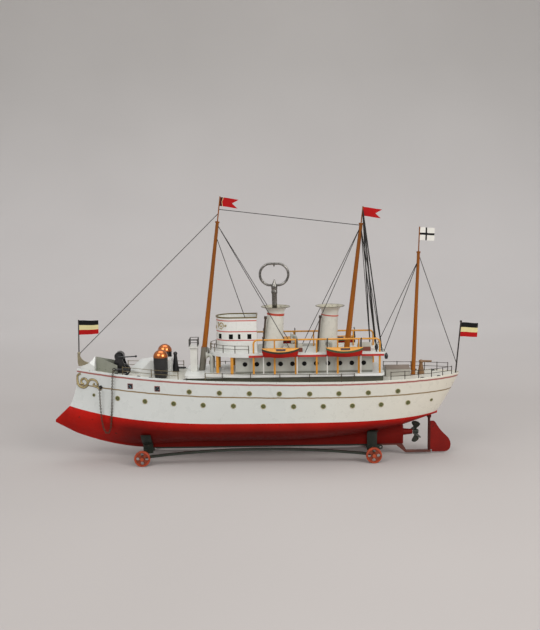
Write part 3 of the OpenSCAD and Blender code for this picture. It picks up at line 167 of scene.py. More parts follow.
def deck_half(x):
    return half_at(1) * fullness(plan_u(x, 1))


def keel_at(x):
    return KEEL_LOW + (KEEL_RISE * ((KEEL_BEND - x) / KEEL_RUN) ** 1.9 if x < KEEL_BEND else 0)


def fin_h(x):
    if x < FIN_FORE:
        return FIN_BOW_H
    if x < FIN_FULL:
        return mix(FIN_BOW_H, FIN_H, (x - FIN_FORE) / (FIN_FULL - FIN_FORE))
    if x < FIN_AFT:
        return FIN_H
    return FIN_H + (COUNTER_Z - KEEL_LOW - FIN_H) * ((x - FIN_AFT) / (POST - FIN_AFT)) ** 1.6


def fin_y(x):
    return mix(FIN_BOW_HALF, FIN_HALF, unit((x - BOW) / FIN_RUN))


def ram_top(x):
    if x < STEM_LOW:
        return mix(RAM_TIP_TOP, paint_z(STEM_LOW), (x - BOW) / (STEM_LOW - BOW))
    return paint_z(x)


def ram_low(x):
    if x < RAM_END:
        return mix(RAM_TIP_LOW, keel_at(RAM_END), (x - BOW) / (RAM_END - BOW))
    return keel_at(x)


def body_low(x):
    if x < POST:
        return ram_low(x) + fin_h(x)
    return mix(COUNTER_Z, COUNTER_END_Z, (x - POST) / (STERN_LOW - POST))


def hull_y(x, z):
    top = half_at(0) * fullness(plan_u(x, 0))
    thin = fin_y(x) if x < POST + 0.01 else 0.3
    v = unit((z - body_low(x)) / (ram_top(x) - body_low(x)))
    w = unit((z - ram_low(x)) / (ram_top(x) - ram_low(x)))
    sharp = 0.8 + 0.35 * unit(abs(x) / 280) ** 2
    bulge = RAM_BULGE * unit((x - BOW) / RAM_BULGE_RUN) * unit((RAM_BULGE_END - x) / RAM_BULGE_FADE)
    return thin + max(0, top - thin) * (1 - (1 - v) ** 2) ** sharp + bulge * math.sin(math.pi * w)


# Shape building

class Shape:
    """Vertices, faces and material slots of one piece, in millimetres."""

    def __init__(self):
        self.v, self.f, self.m = [], [], []

    def face(self, idx, mat=0):
        self.f.append(idx)
        self.m.append(mat)

    def grid(self, rows, mat=0, wrap=False, caps=False, mats=None):
        base, n = len(self.v), len(rows[0])
        for row in rows:
            self.v.extend(tuple(p) for p in row)
        for i in range(len(rows) - 1):
            for j in range(n if wrap else n - 1):
                k = (j + 1) % n
                a, b = base + i * n, base + (i + 1) * n
                self.face((a + j, a + k, b + k, b + j), mats(i, j) if mats else mat)
        first, last = caps if isinstance(caps, tuple) else (caps, caps)
        if first:
            self.face(tuple(base + j for j in range(n)), mat)
        if last:
            self.face(tuple(base + (len(rows) - 1) * n + j for j in reversed(range(n))), mat)

    def lathe(self, profile, place, n=28, mat=0, stretch=1.0, caps=True):
        rows = []
        for r, h in profile:
            ring = []
            for k in range(n):
                a = 2 * math.pi * k / n
                ring.append(place @ Vector((r * math.cos(a) * stretch, r * math.sin(a), h)))
            rows.append(ring)
        self.grid(rows, mat, wrap=True, caps=caps)

    def tube(self, path, radius, n=8, mat=0, flat=1.0, closed=False):
        pts = [Vector(p) for p in path]
        rows, side = [], None
        count = len(pts)
        for i, p in enumerate(pts):
            a = pts[(i - 1) % count] if closed or i > 0 else p
            b = pts[(i + 1) % count] if closed or i < count - 1 else p
            d = (b - a).normalized()
            if side is None:
                side = d.cross(Vector((0, 1, 0.01)))
            side = (side - d * side.dot(d)).normalized()
            up = d.cross(side)
            r = radius(i / (count - 1)) if callable(radius) else radius
            ring = []
            for k in range(n):
                t = 2 * math.pi * k / n
                ring.append(p + side * (r * math.cos(t)) + up * (r * flat * math.sin(t)))
            rows.append(ring)
        if closed:
            rows.append(rows[0])
        self.grid(rows, mat, wrap=True, caps=not closed)

    def make(self, name, mats, body="ship", angle=38, replaces=()):
        mesh = bpy.data.meshes.new(name)
        mesh.from_pydata([(x * MM, y * MM, z * MM) for x, y, z in self.v], [], self.f)
        for m in mats:
            mesh.materials.append(m)
        mesh.polygons.foreach_set("material_index", self.m)
        bm = bmesh.new()
        bm.from_mesh(mesh)
        bmesh.ops.remove_doubles(bm, verts=bm.verts, dist=1e-7)
        bmesh.ops.recalc_face_normals(bm, faces=bm.faces)
        bm.to_mesh(mesh)
        bm.free()
        mesh.polygons.foreach_set("use_smooth", [True] * len(mesh.polygons))
        mesh.set_sharp_from_angle(angle=math.radians(angle))
        obj = bpy.data.objects.new(name, mesh)
        scene.collection.objects.link(obj)
        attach(obj, body)
        if replaces:
            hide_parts(*replaces)
        return obj


def place_at(p, x_axis, z_axis):
    z = Vector(z_axis).normalized()
    x = Vector(x_axis)
    x = (x - z * x.dot(z)).normalized()
    y = z.cross(x)
    m = Matrix((x, y, z)).transposed().to_4x4()
    m.translation = Vector(p)
    return m


def upright(x, y, z):
    return place_at((x, y, z), (1, 0, 0), (0, 0, 1))


def on_hull(x, z, side, out=0.0):
    """Place on the hull side: local X aft, local Z outward."""
    y = side_y(x, z)
    dx = (side_y(x + 1, z) - side_y(x - 1, z)) / 2
    dz = (side_y(x, z + 1) - side_y(x, z - 1)) / 2
    normal = Vector((-dx, side, -dz)).normalized()
    p = Vector((x, side * y, z)) + normal * out
    return place_at(p, (1, side * dx, 0), normal)


def flowing(pts, n=7):
    """Smooth line through the points."""
    pts = [Vector(p) for p in pts]
    out = []
    for i in range(len(pts) - 1):
        a, b, c, d = (pts[min(max(k, 0), len(pts) - 1)] for k in (i - 1, i, i + 1, i + 2))
        for k in range(n):
            t = k / n
            out.append(0.5 * (2 * b + (c - a) * t + (2 * a - 5 * b + 4 * c - d) * t * t
                              + (3 * b - a - 3 * c + d) * t ** 3))
    return out + [pts[-1]]


def resample(path, step):
    """Points at equal steps along the smooth line through the path, and its length."""
    smooth = flowing(path, 12)
    total = sum((smooth[i + 1] - smooth[i]).length for i in range(len(smooth) - 1))
    count = max(2, round(total / step))
    out, i, gone = [smooth[0]], 0, 0.0
    for k in range(1, count):
        want = total * k / count
        while gone + (smooth[i + 1] - smooth[i]).length < want:
            gone += (smooth[i + 1] - smooth[i]).length
            i += 1
        seg = smooth[i + 1] - smooth[i]
        out.append(smooth[i] + seg * ((want - gone) / seg.length))
    out.append(smooth[-1])
    return out, total


def spiral(cx, cy, r0, r1, a0, a1, n):
    out = []
    for i in range(n + 1):
        r, a = mix(r0, r1, i / n), math.radians(mix(a0, a1, i / n))
        out.append((cx + r * math.cos(a), cy + r * math.sin(a)))
    return out


# Shader nodes

def lin(rgb):
    out = []
    for c in rgb:
        c /= 255.0
        out.append(c / 12.92 if c <= 0.04045 else ((c + 0.055) / 1.055) ** 2.4)
    return (*out, 1.0)


def put(nt, socket, value):
    if hasattr(value, "is_output"):
        nt.links.new(value, socket)
    else:
        socket.default_value = value


def node(nt, kind, ins=(), out=0, **props):
    n = nt.nodes.new("ShaderNode" + kind)
    for k, v in props.items():
        setattr(n, k, v)
    for i, v in enumerate(ins):
        if v is not None:
            put(nt, n.inputs[i], v)
    return n.outputs[out]


def calc(nt, op, a, b=0.0):
    return node(nt, "Math", (a, b), operation=op)


def ramp(nt, v, a, b, lo=0.0, hi=1.0):
    return node(nt, "MapRange", (v, a, b, lo, hi))


def mixc(nt, f, a, b):
    n = nt.nodes.new("ShaderNodeMix")
    n.data_type = "RGBA"
    put(nt, n.inputs[0], f)
    put(nt, n.inputs[6], a)
    put(nt, n.inputs[7], b)
    return n.outputs[2]


def noise(nt, vec, scale, detail=3.0):
    return node(nt, "TexNoise", (vec, None, scale, detail))


class Paint:
    """What a colour function gets: the node tree and the place on the piece in millimetres."""

    def __init__(self, nt):
        self.nt = nt
        self.vec = node(nt, "TexCoord", out=3)
        sep = nt.nodes.new("ShaderNodeSeparateXYZ")
        nt.links.new(self.vec, sep.inputs[0])
        self.x, self.y, self.z = (self.calc("MULTIPLY", sep.outputs[i], 1 / MM) for i in range(3))

    def calc(self, op, a, b=0.0):
        return calc(self.nt, op, a, b)

    def size(self, v):
        return self.calc("ABSOLUTE", v)

    def both(self, a, b):
        return self.calc("MULTIPLY", a, b)

    def reach(self, a, b):
        return self.calc("SQRT", self.calc("ADD", self.both(a, a), self.both(b, b)))

    def mask(self, v, centre, half, soft=0.15):
        """1 where v lies within half of the centre."""
        return ramp(self.nt, self.size(self.calc("SUBTRACT", v, centre)), half + soft, half)

    def above(self, v, edge, soft=0.2):
        return ramp(self.nt, v, edge - soft, edge + soft)

    def below(self, v, edge, soft=0.2):
        return self.calc("SUBTRACT", 1.0, self.above(v, edge, soft))

    def mix(self, f, a, b):
        """Between two colours, each a node's output or an RGB value."""
        a, b = (c if hasattr(c, "is_output") else lin(c) for c in (a, b))
        return mixc(self.nt, f, a, b)


def paint(name, tint, rough=0.36, vary=0.1, scale=30, wear_and_reflection=None, spots_at=0.66,
          metal=0.0, coat=0.2, bump=0.12, streak=None, spec=0.5):
    """Enamel or metal with uneven tone and spots of a second colour: worn spots, and on the key and the
    window panes painted reflections. The tint is an RGB value or a colour function.
    """
    m = bpy.data.materials.new(name)
    m.use_nodes = True
    nt = m.node_tree
    bsdf = nt.nodes["Principled BSDF"]
    p = Paint(nt)
    vec = p.vec
    if streak:
        n = nt.nodes.new("ShaderNodeMapping")
        nt.links.new(p.vec, n.inputs[0])
        n.inputs[3].default_value = streak
        vec = n.outputs[0]
    big, small = noise(nt, vec, scale, 4.0), noise(nt, vec, scale * 9, 3.0)
    level = p.both(ramp(nt, big, 0.3, 0.7, 1 - vary, 1 + vary * 0.45),
                   ramp(nt, small, 0.3, 0.7, 1 - vary * 0.35, 1 + vary * 0.2))
    scaled = nt.nodes.new("ShaderNodeVectorMath")
    scaled.operation = "SCALE"
    put(nt, scaled.inputs[0], tint(p) if callable(tint) else lin(tint)[:3])
    put(nt, scaled.inputs[3], level)
    col = scaled.outputs[0]
    if wear_and_reflection:
        spots = noise(nt, vec, scale * 4.3, 6.0)
        col = p.mix(ramp(nt, spots, spots_at, spots_at + 0.05), col, wear_and_reflection)
    put(nt, bsdf.inputs["Base Color"], col)
    put(nt, bsdf.inputs["Roughness"], ramp(nt, small, 0.3, 0.7, rough - 0.07, rough + 0.1))
    bsdf.inputs["Metallic"].default_value = metal
    bsdf.inputs["Coat Weight"].default_value = coat
    bsdf.inputs["Coat Roughness"].default_value = 0.18
    bsdf.inputs["Specular IOR Level"].default_value = spec
    b = nt.nodes.new("ShaderNodeBump")
    b.inputs["Strength"].default_value = bump
    b.inputs["Distance"].default_value = 0.0004
    nt.links.new(small, b.inputs["Height"])
    nt.links.new(b.outputs[0], bsdf.inputs["Normal"])
    return m


# Colours that change over a piece

RED, RED_IN_SHADE = (190, 22, 10), (118, 16, 8)
BLACK_GREEN = (34, 42, 33)
DECK_WHITE = (222, 222, 216)
HOUSE_SHADE_GREY = (176, 177, 168)
THIN_LINE = (196, 92, 84)
EDGE_LINE_DROP, EDGE_LINE_HALF = 3.9, 0.95
BELT_DROP, BELT_HALF = 23.3, 0.7
PLANK_W = 5.0


def hull_colour(p):
    nt = p.nt
    # Painted light: the white turns lighter and warmer towards the stern, where more light falls.
    base = p.mix(p.above(p.x, -60, 160), (216, 219, 216), (214, 217, 211))
    base = p.mix(p.above(p.x, 150, 130), base, (224, 217, 201))
    off = p.calc("SUBTRACT", p.x, SHEER_X)
    edge = p.calc("ADD", p.both(p.both(off, off), SHEER_CURVE), SHEER_LOW)
    waver = ramp(nt, noise(nt, p.vec, 90), 0.3, 0.7, -0.25, 0.25)
    drop = p.calc("ADD", p.calc("SUBTRACT", edge, p.z), waver)
    base = p.mix(p.mask(drop, EDGE_LINE_DROP, EDGE_LINE_HALF, 0.5), base, (163, 92, 84))
    base = p.mix(p.mask(drop, BELT_DROP, BELT_HALF, 0.5), base, (136, 112, 70))
    rust = p.both(ramp(nt, noise(nt, p.vec, 160, 6), 0.62, 0.72), ramp(nt, drop, 2.5, 0.0))
    return p.mix(rust, base, (120, 88, 60))


def red_colour(p):
    nt = p.nt
    ahead = p.calc("MAXIMUM", p.calc("SUBTRACT", PAINT_X, p.x), 0.0)
    aft = p.calc("MAXIMUM", p.calc("SUBTRACT", p.x, PAINT_X), 0.0)
    line = p.calc("ADD", p.both(p.calc("POWER", ahead, 4.0), PAINT_AHEAD),
                  p.both(p.calc("POWER", aft, 3.0), PAINT_AFT))
    drop = p.calc("SUBTRACT", p.calc("ADD", line, PAINT_LOW), p.z)
    # Painted shade: the red darkens downward from the paint line where the hull turns under, less at the bow
    # where the flank faces the light.
    painted_shade = p.both(ramp(nt, drop, 1.5, 15.0), ramp(nt, p.x, -262.0, -200.0, 0.35, 1.0))
    return p.mix(painted_shade, RED, RED_IN_SHADE)


def boat_deck_colour(p):
    side, aft = p.above(p.size(p.y), BOAT_HALF - 0.3, 0.1), p.above(p.x, BOAT_AFT - 0.4, 0.1)
    rim = p.calc("MAXIMUM", side, aft)
    return p.mix(p.both(p.mask(p.z, BOAT_TOP - 0.4, 1.5, 0.2), rim), DECK_WHITE, (186, 36, 24))


def wheelhouse_colour(p):
    ahead = p.calc("MINIMUM", p.calc("SUBTRACT", p.x, WHEELHOUSE_X), 0.0)
    outside = p.above(p.reach(ahead, p.y), WHEELHOUSE_R - 0.6, 0.1)
    base = (226, 226, 221)
    for z in (213.2, 197.0, 184.0):
        base = p.mix(p.both(outside, p.mask(p.z, z, 0.65, 0.3)), base, THIN_LINE)
    return base


def funnel_colour(p):
    return p.mix(p.above(p.x, 55, 3), (216, 214, 204), (208, 205, 194))


def mast_colour(p):
    base = p.mix(p.above(p.z, 260, 60), (158, 90, 17), (140, 79, 17))
    return p.mix(p.both(p.below(p.x, -60, 1), p.below(p.z, 171.2, 0.3)), base, (124, 119, 108))


def staff_colour(p):
    return p.mix(p.both(p.below(p.x, 0, 1), p.below(p.z, 166.5, 0.6)), (44, 36, 32), (142, 132, 106))


def rail_colour(p):
    base = p.mix(p.above(p.x, -75, 2), (112, 99, 68), (78, 70, 56))
    return p.mix(p.above(p.x, 150, 5), base, (58, 47, 35))


def davit_colour(p):
    return p.mix(p.above(p.z, 162, 0.4), DECK_WHITE, (52, 48, 45))


def gun_colour(p):
    return p.mix(p.above(p.x, 100, 1), (30, 30, 31), (122, 88, 52))


def sky_colour(p):
    aft = p.mix(p.above(p.z, 134.5, 0.3), (176, 172, 162), (124, 110, 98))
    roof = p.mix(p.above(p.z, 169.2, 0.3), (126, 62, 46), (168, 162, 148))
    return p.mix(p.above(p.x, 170, 1), roof, aft)


def axle_colour(p):
    return p.mix(p.above(p.size(p.y), 46.9, 0.1), BLACK_GREEN, (182, 74, 34))


def rudder_colour(p):
    return p.mix(p.above(p.x, 250.7, 0.3), (74, 24, 18), (128, 20, 12))


def deck_colour(p):
    lane = p.calc("FRACT", p.calc("DIVIDE", p.y, PLANK_W))
    return p.mix(p.both(p.mask(lane, 0.5, 0.025, 0.02), 0.45), (213, 210, 199), (150, 140, 120))


def keel_colour(p):
    return p.mix(p.above(p.x, 172, 3), BLACK_GREEN, (96, 44, 32))


def wheel_colour(p):
    fore = p.size(p.calc("SUBTRACT", p.x, AXLE_FORE))
    aft = p.size(p.calc("SUBTRACT", p.x, AXLE_AFT))
    r = p.reach(p.calc("MINIMUM", fore, aft), p.calc("SUBTRACT", p.z, WHEEL_R))
    base = p.mix(p.above(r, 9.3, 0.4), (142, 56, 26), (176, 66, 30))
    return p.mix(p.above(r, 3.6, 0.3), (74, 38, 24), base)


def stand_colour(p):
    return p.mix(p.above(p.z, 173.2, 0.3), (222, 221, 214), (62, 60, 56))


# Painted shade: the white deckhouse wall is painted grey for its shade under the boat deck, and the darker
# band at its foot is a painted shadow line along the promenade plate.
def house_colour(p):
    return p.mix(p.mask(p.z, PROM_TOP + 1.5, 1.4, 0.4), HOUSE_SHADE_GREY, (120, 120, 110))


# Materials

def flag_paint(name, rgb, vary):
    return paint(name, rgb, rough=0.5, vary=vary, scale=70, coat=0.0, spec=0.2)


M = {
    "hull": paint("hull_white", hull_colour, rough=0.3, vary=0.05, scale=9, coat=0.35, bump=0.05),
    "red": paint("hull_red", red_colour, rough=0.5, vary=0.2, scale=22, wear_and_reflection=(96, 26, 18), spots_at=0.68,
                 coat=0.0, spec=0.15),
    "white": paint("white_enamel", (225, 226, 222), rough=0.34, vary=0.07, scale=28,
                   wear_and_reflection=(178, 168, 148), spots_at=0.7),
    "black_green": paint("black_green_enamel", BLACK_GREEN, rough=0.42, vary=0.35, scale=60,
                         wear_and_reflection=(74, 66, 50), spots_at=0.64, bump=0.3),
    "keel": paint("keel_enamel", keel_colour, rough=0.45, vary=0.35, scale=60, bump=0.3),
    "deck": paint("deck_enamel", deck_colour, rough=0.45, vary=0.09, scale=24),
    "grey": paint("grey_enamel", (172, 173, 164), rough=0.45, vary=0.12, scale=40, wear_and_reflection=(130, 126, 112)),
    "house": paint("deckhouse_grey", house_colour, rough=0.45, vary=0.1, scale=40),
    "break": paint("breakwater_grey", (150, 152, 138), rough=0.5, vary=0.18, scale=50, wear_and_reflection=(96, 92, 76)),
    "gilt": paint("dull_gilt", (186, 168, 122), rough=0.4, vary=0.3, scale=120, metal=0.55,
                  wear_and_reflection=(84, 66, 40), spots_at=0.6, bump=0.35),
    "olive_gilt": paint("olive_gilt", (116, 100, 44), rough=0.36, vary=0.25, scale=120, metal=0.4,
                        wear_and_reflection=(70, 56, 30), bump=0.25),
    "scroll_edge": paint("scroll_outline", (92, 74, 44), rough=0.45, vary=0.25, scale=160, bump=0.25),
    "black": paint("black_enamel", (30, 30, 31), rough=0.33, vary=0.3, scale=60, wear_and_reflection=(78, 72, 64),
                   spots_at=0.69, bump=0.25),
    "ochre": paint("ochre_enamel", (218, 150, 46), rough=0.33, vary=0.18, scale=80, wear_and_reflection=(150, 92, 34)),
    "boat_red": paint("lifeboat_red", (174, 24, 12), rough=0.5, vary=0.2, scale=60, wear_and_reflection=(110, 28, 18),
                      spots_at=0.68, coat=0.0, spec=0.18),
    "boat_green": paint("lifeboat_green", (58, 92, 62), rough=0.38, vary=0.2, scale=80,
                        wear_and_reflection=(30, 40, 32), spots_at=0.64),
    "well": paint("lifeboat_well", (58, 20, 14), rough=0.5, vary=0.25, scale=90),
    "brown": paint("brown_enamel", (62, 46, 33), vary=0.2, scale=70),
    "mast": paint("mast_brown", mast_colour, rough=0.4, vary=0.22, scale=50, coat=0.1, spec=0.25,
                  streak=(4.0, 4.0, 0.35)),
    "copper": paint("copper_lacquer", (214, 122, 62), rough=0.17, vary=0.14, scale=60, metal=1.0,
                    coat=0.5, bump=0.04),
    "iron": paint("browned_chain", (76, 64, 48), rough=0.45, vary=0.4, scale=300, metal=0.35, bump=0.2),
    "thread": paint("black_thread", (34, 31, 29), rough=0.75, vary=0.3, scale=700, coat=0.0, bump=0.5),
    "brass": paint("aged_brass", (196, 158, 84), rough=0.28, vary=0.15, scale=60, metal=1.0, bump=0.08),
    "steel": paint("bright_steel", (216, 214, 212), rough=0.17, vary=0.16, scale=90, metal=1.0, coat=0.1,
                   bump=0.1, wear_and_reflection=(120, 114, 108), spots_at=0.67),
    # The key steel's darker tone and its dark spots are painted dark reflections.
    "key_steel": paint("key_steel", (150, 147, 142), rough=0.25, vary=0.4, scale=120, metal=1.0,
                       coat=0.0, wear_and_reflection=(74, 69, 62), spots_at=0.58),
    "wheel": paint("wheel_enamel", wheel_colour, rough=0.45, vary=0.25, scale=90, wear_and_reflection=(96, 48, 28),
                   spots_at=0.62, coat=0.05),
    "boat_deck": paint("boat_deck_enamel", boat_deck_colour, rough=0.34, vary=0.07, scale=28),
    "wheelhouse": paint("wheelhouse_enamel", wheelhouse_colour, rough=0.3, vary=0.05, scale=28),
    "funnel": paint("funnel_enamel", funnel_colour, rough=0.3, vary=0.07, scale=22, coat=0.4),
    "stand": paint("stand_enamel", stand_colour, rough=0.38, vary=0.08, scale=40),
    "rail": paint("rail_grey", rail_colour, rough=0.4, vary=0.25, scale=120, metal=0.3),
    "port_rim": paint("port_rim_gilt", (170, 160, 118), rough=0.35, vary=0.2, scale=200, metal=0.4),
    "port_glass": paint("port_glass_olive", (84, 88, 36), rough=0.12, vary=0.3, scale=260, coat=0.8,
                        bump=0.05),
    "frame_red": paint("window_frame_red", (118, 52, 44), rough=0.35, vary=0.2, scale=200),
    # The light blue spots on the dark panes are painted reflections.
    "pane": paint("window_pane_blue", (30, 40, 44), rough=0.2, vary=0.35, scale=170, coat=0.3, bump=0.05,
                  spec=0.3, wear_and_reflection=(140, 172, 182), spots_at=0.6),
    "black_fill": paint("black_fill", (9, 9, 8), rough=0.4, vary=0.4, scale=150, coat=0.0, bump=0.05,
                        spec=0.15),
    "flag_red": flag_paint("flag_red", (178, 10, 13), 0.12),
    "flag_maroon": flag_paint("flag_maroon", (82, 12, 19), 0.15),
    "flag_black": flag_paint("flag_black", (18, 18, 19), 0.2),
    "flag_cream": flag_paint("flag_cream", (222, 210, 156), 0.08),
    "flag_white": flag_paint("flag_white", (228, 226, 218), 0.06),
    "lining": paint("cowl_red", (172, 44, 32), rough=0.4, vary=0.2, scale=90),
    "inner_face": paint("funnel_mouth_worn", (186, 180, 160), rough=0.5, vary=0.25, scale=60,
                  wear_and_reflection=(104, 92, 70), spots_at=0.6),
    # Painted shade for the inner wall deep inside the funnels.
    "deep": paint("funnel_inside_shade", (70, 62, 48), rough=0.6, vary=0.3, scale=60),
    # The rolled rim is painted darker than the funnel all round, with worn spots.
    "rim": paint("funnel_rim_darker", (112, 105, 88), rough=0.4, vary=0.25, scale=90, metal=0.2,
                 wear_and_reflection=(96, 88, 70)),
    "band": paint("funnel_band_red", (196, 66, 42), rough=0.38, vary=0.2, scale=80),
    "plinth": paint("plinth_olive", (84, 84, 68), rough=0.5, vary=0.25, scale=60, wear_and_reflection=(58, 56, 44)),
    "staff": paint("flagstaff_enamel", staff_colour, rough=0.4, vary=0.2, scale=90),
    "davit": paint("davit_enamel", davit_colour, vary=0.12, scale=90),
    "gun": paint("gun_enamel", gun_colour, rough=0.34, vary=0.25, scale=70),
    "sky": paint("skylight_enamel", sky_colour, rough=0.42, vary=0.15, scale=60),
    "axle": paint("axle_enamel", axle_colour, rough=0.42, vary=0.25, scale=70),
    "rudder": paint("rudder_enamel", rudder_colour, rough=0.5, vary=0.2, scale=40, wear_and_reflection=(84, 28, 20),
                    coat=0.0, spec=0.22),
}

FINISH = {
    "red": "stern_post stern_tube",
    "rudder": "rudder rudder_gudgeon",
    "white": "bow_whaleback promenade_plate bridge_deck fore_hatch",
    "davit": "davits",
    "black_green": "carriage_saddles side_bars propeller",
    "plinth": "plinth",
    "axle": "axles",
    "keel": "keel_bar",
    "deck": "main_deck",
    "grey": "cowl_vents",
    "sky": "skylights",
    "house": "deckhouse",
    "break": "breakwater",
    "olive_gilt": "wheelhouse_rim",
    "black": "hawse_pipes capstan_drums windlass anchor",
    "gun": "deck_guns",
    "rail": "guard_rails",
    "ochre": "house_posts awning_rails",
    "brown": "steam_pipes",
    "staff": "flagstaffs",
    "mast": "masts",
    "copper": "capstan_domes",
    "thread": "rigging",
    "brass": "movement_plates movement_pillars great_wheel second_arbor",
    "steel": "winding_arbor mainspring prop_shaft",
    "wheel": "wheel_fore_port wheel_fore_starboard wheel_aft_port wheel_aft_starboard",
    "boat_deck": "boat_deck",
    "wheelhouse": "wheelhouse",
    "funnel": "funnels",
    "stand": "lookout_stand",
}
for finish, names in FINISH.items():
    for name in names.split():
        mesh = NODES[name].data
        mesh.materials.clear()
        mesh.materials.append(M[finish])


def soften(names, width):
    for name in names.split():
        mod = NODES[name].modifiers.new("edge", "BEVEL")
        mod.width = width * MM
        mod.segments = 2
        mod.limit_method = "ANGLE"
        mod.angle_limit = math.radians(40)


# Hull skins

def hull_topsides():
    s = Shape()
    n, levels = 150, 22
    us = [mix(i / n, 0.5 - 0.5 * math.cos(math.pi * i / n), 0.75) for i in range(n + 1)]
    ring = [(u, 1) for u in us] + [(u, -1) for u in reversed(us[1:-1])]
    rows = []
    for k in range(levels + 1):
        r = k / levels
        row = []
        for u, side in ring:
            x = mix(stem_x(r), stern_x(r), u)
            row.append((x, side * half_at(r) * fullness(u), mix(paint_z(x), sheer_z(x), r)))
        rows.append(row)
    rounded_edge = ((0.12, 0.22), (0.5, 0.38), (0.88, 0.22), (1, 0.0), (1, -2.5))
    for k, lift in rounded_edge:
        row = []
        for u, side in ring:
            x = mix(stem_x(1) + 3 * k, stern_x(1) - SHELL * k, u)
            row.append((x, side * (half_at(1) - SHELL * k) * fullness(u), sheer_z(x) + lift))
        rows.append(row)
    s.grid(rows, wrap=True)
    return s.make("hull_side_skin", [M["hull"]], replaces=("hull_topsides",), angle=50)


def section(x, zs, floor_y):
    """Half sections of both sides, from the port top down and up to the starboard top."""
    port = [(x, -max(floor_y, hull_y(x, z)), z) for z in reversed(zs)]
    return port + [(x, max(floor_y, hull_y(x, z)), z) for z in zs]


def hull_bottom():
    s = Shape()
    xs = [mix(BOW, STEM_LOW - 2, i / 12) for i in range(13)]
    xs += [mix(STEM_LOW, -240, i / 24) for i in range(25)]
    xs += [mix(-236, POST, i / 80) for i in range(81)]
    ts = [0.02, 0.05, 0.1, 0.15, 0.22, 0.3, 0.38, 0.48, 0.6, 0.72, 0.86]
    keel_edge = 0.45
    loops = []
    for x in xs:
        k, b, p = ram_low(x), body_low(x), ram_top(x)
        zs = [k, k + 0.4 * min(1, (p - k) / 8), mix(k, b, 0.55), b] + [mix(b, p, t) for t in ts] + [p]
        loop = section(x, zs, 0.0)
        h = len(zs)
        loop[h - 1] = (x, loop[h - 1][1] + keel_edge, k)
        loop[h] = (x, loop[h][1] - keel_edge, k)
        loops.append(loop)
    s.grid(loops, caps=True)
    ram = loops[:15]
    s.grid([[loop[0] for loop in ram], [loop[-1] for loop in ram]])
    return s.make("hull_bottom_skin", [M["red"]], replaces=("hull_bottom", "ram"), angle=80)


def counter():
    s = Shape()
    n = 32
    loops = []
    for i in range(n + 1):
        x = mix(POST, STERN_LOW, math.sin(math.pi / 2 * i / n)) + (0.02 if i == 0 else 0)
        b, p = body_low(x), max(paint_z(x), body_low(x) + 1)
        zs = [mix(b, p, t) for t in (0, 0.06, 0.12, 0.2, 0.3, 0.45, 0.6, 0.8, 1)]
        loops.append(section(x, zs, 0.6))
    s.grid(loops, caps=True)
    return s.make("counter_skin", [M["red"]], replaces=("counter",), angle=50)


hull_topsides()
hull_bottom()
counter()

# Portholes and windows of the hull

UPPER_X = [-112, -67.7, -23.9, 19.9, 64.2, 107, 150.3, 194.5]
LOWER_X = [-221, -178.8, -135.7, -92.1, -47.7, -3.8, 40.6, 84.1, 127, 169.6, 210.4]
END_X = [-258.8, 247.4]
WINDOW_X = [-200.7, -159.6]
UPPER_DROP, LOWER_DROP, WINDOW_DROP = 17.0, 36.2, 15.5
PORT_R, END_R = 4.0, 2.6


def window(s, at):
    corners = ((-1, -1), (0, -1), (1, -1), (1, 0), (1, 1), (0, 1), (-1, 1), (-1, 0))
    rows = []
    for half, h in ((4.1, -0.6), (4.1, 0.3), (3.8, 0.55), (3.2, 0.55), (3.0, 0.2)):
        rows.append([at @ Vector((half * a, half * b, h)) for a, b in corners])
    s.grid(rows, 2, wrap=True)
    opening_fill, n = 3.05, 6
    pane = []
    for j in range(n + 1):
        row = []
        for i in range(n + 1):
            hollow = 0.22 + 0.12 * math.sin(3 * i / n)
            row.append(at @ Vector((mix(-opening_fill, opening_fill, i / n), mix(-opening_fill, opening_fill, j / n), hollow)))
        pane.append(row)
    s.grid(pane, 3)


def portholes():
    s = Shape()
    ports = [(x, UPPER_DROP, PORT_R) for x in UPPER_X] + [(x, LOWER_DROP, PORT_R) for x in LOWER_X]
    ports += [(x, LOWER_DROP, END_R) for x in END_X]
    rim = ((1, -0.5), (1, 0.25), (0.96, 0.5), (0.86, 0.62), (0.78, 0.5), (0.74, 0.1))
    opening_fill = ((0.76, -0.4), (0.76, 0.18), (0.5, 0.42), (0.2, 0.52))
    for side in (-1, 1):
        for x, drop, r in ports:
            at = on_hull(x, sheer_z(x) - drop, side)
            s.lathe([(r * share, h) for share, h in rim], at, 32, 0, caps=False)
            s.lathe([(r * share, h) for share, h in opening_fill], at, 28, 1, caps=(False, True))
        for x in WINDOW_X:
            window(s, on_hull(x, sheer_z(x) - WINDOW_DROP, side))
    return s.make("hull_ports", [M["port_rim"], M["port_glass"], M["frame_red"], M["pane"]],
                  replaces=("porthole_rims",), angle=50)


portholes()

# Gilt bow scroll, drawn from its centre

SCROLL_X, SCROLL_Z = -277, 122.8
SCROLL_CURL = [(-2.5, 10.8), (-7.5, 7.5), (-8.3, 0.8), (-5.8, -7.5), (1.7, -10), (7.5, -6.7), (8.3, -0.8),
               (4.2, 3.3), (-0.8, 1.7), (-1.7, -3.3), (2.5, -5)]
SCROLL_BRANCH = [(4.2, -8.3), (8.3, -4.2), (12.5, 1.7), (18.3, 2.8), (23.3, 0), (25, -5), (21.7, -7.5),
                 (18.3, -5), (20, -2.5)]
SCROLL_LAST = [(23.3, -7.5), (26.7, -10), (30.8, -11.7)]


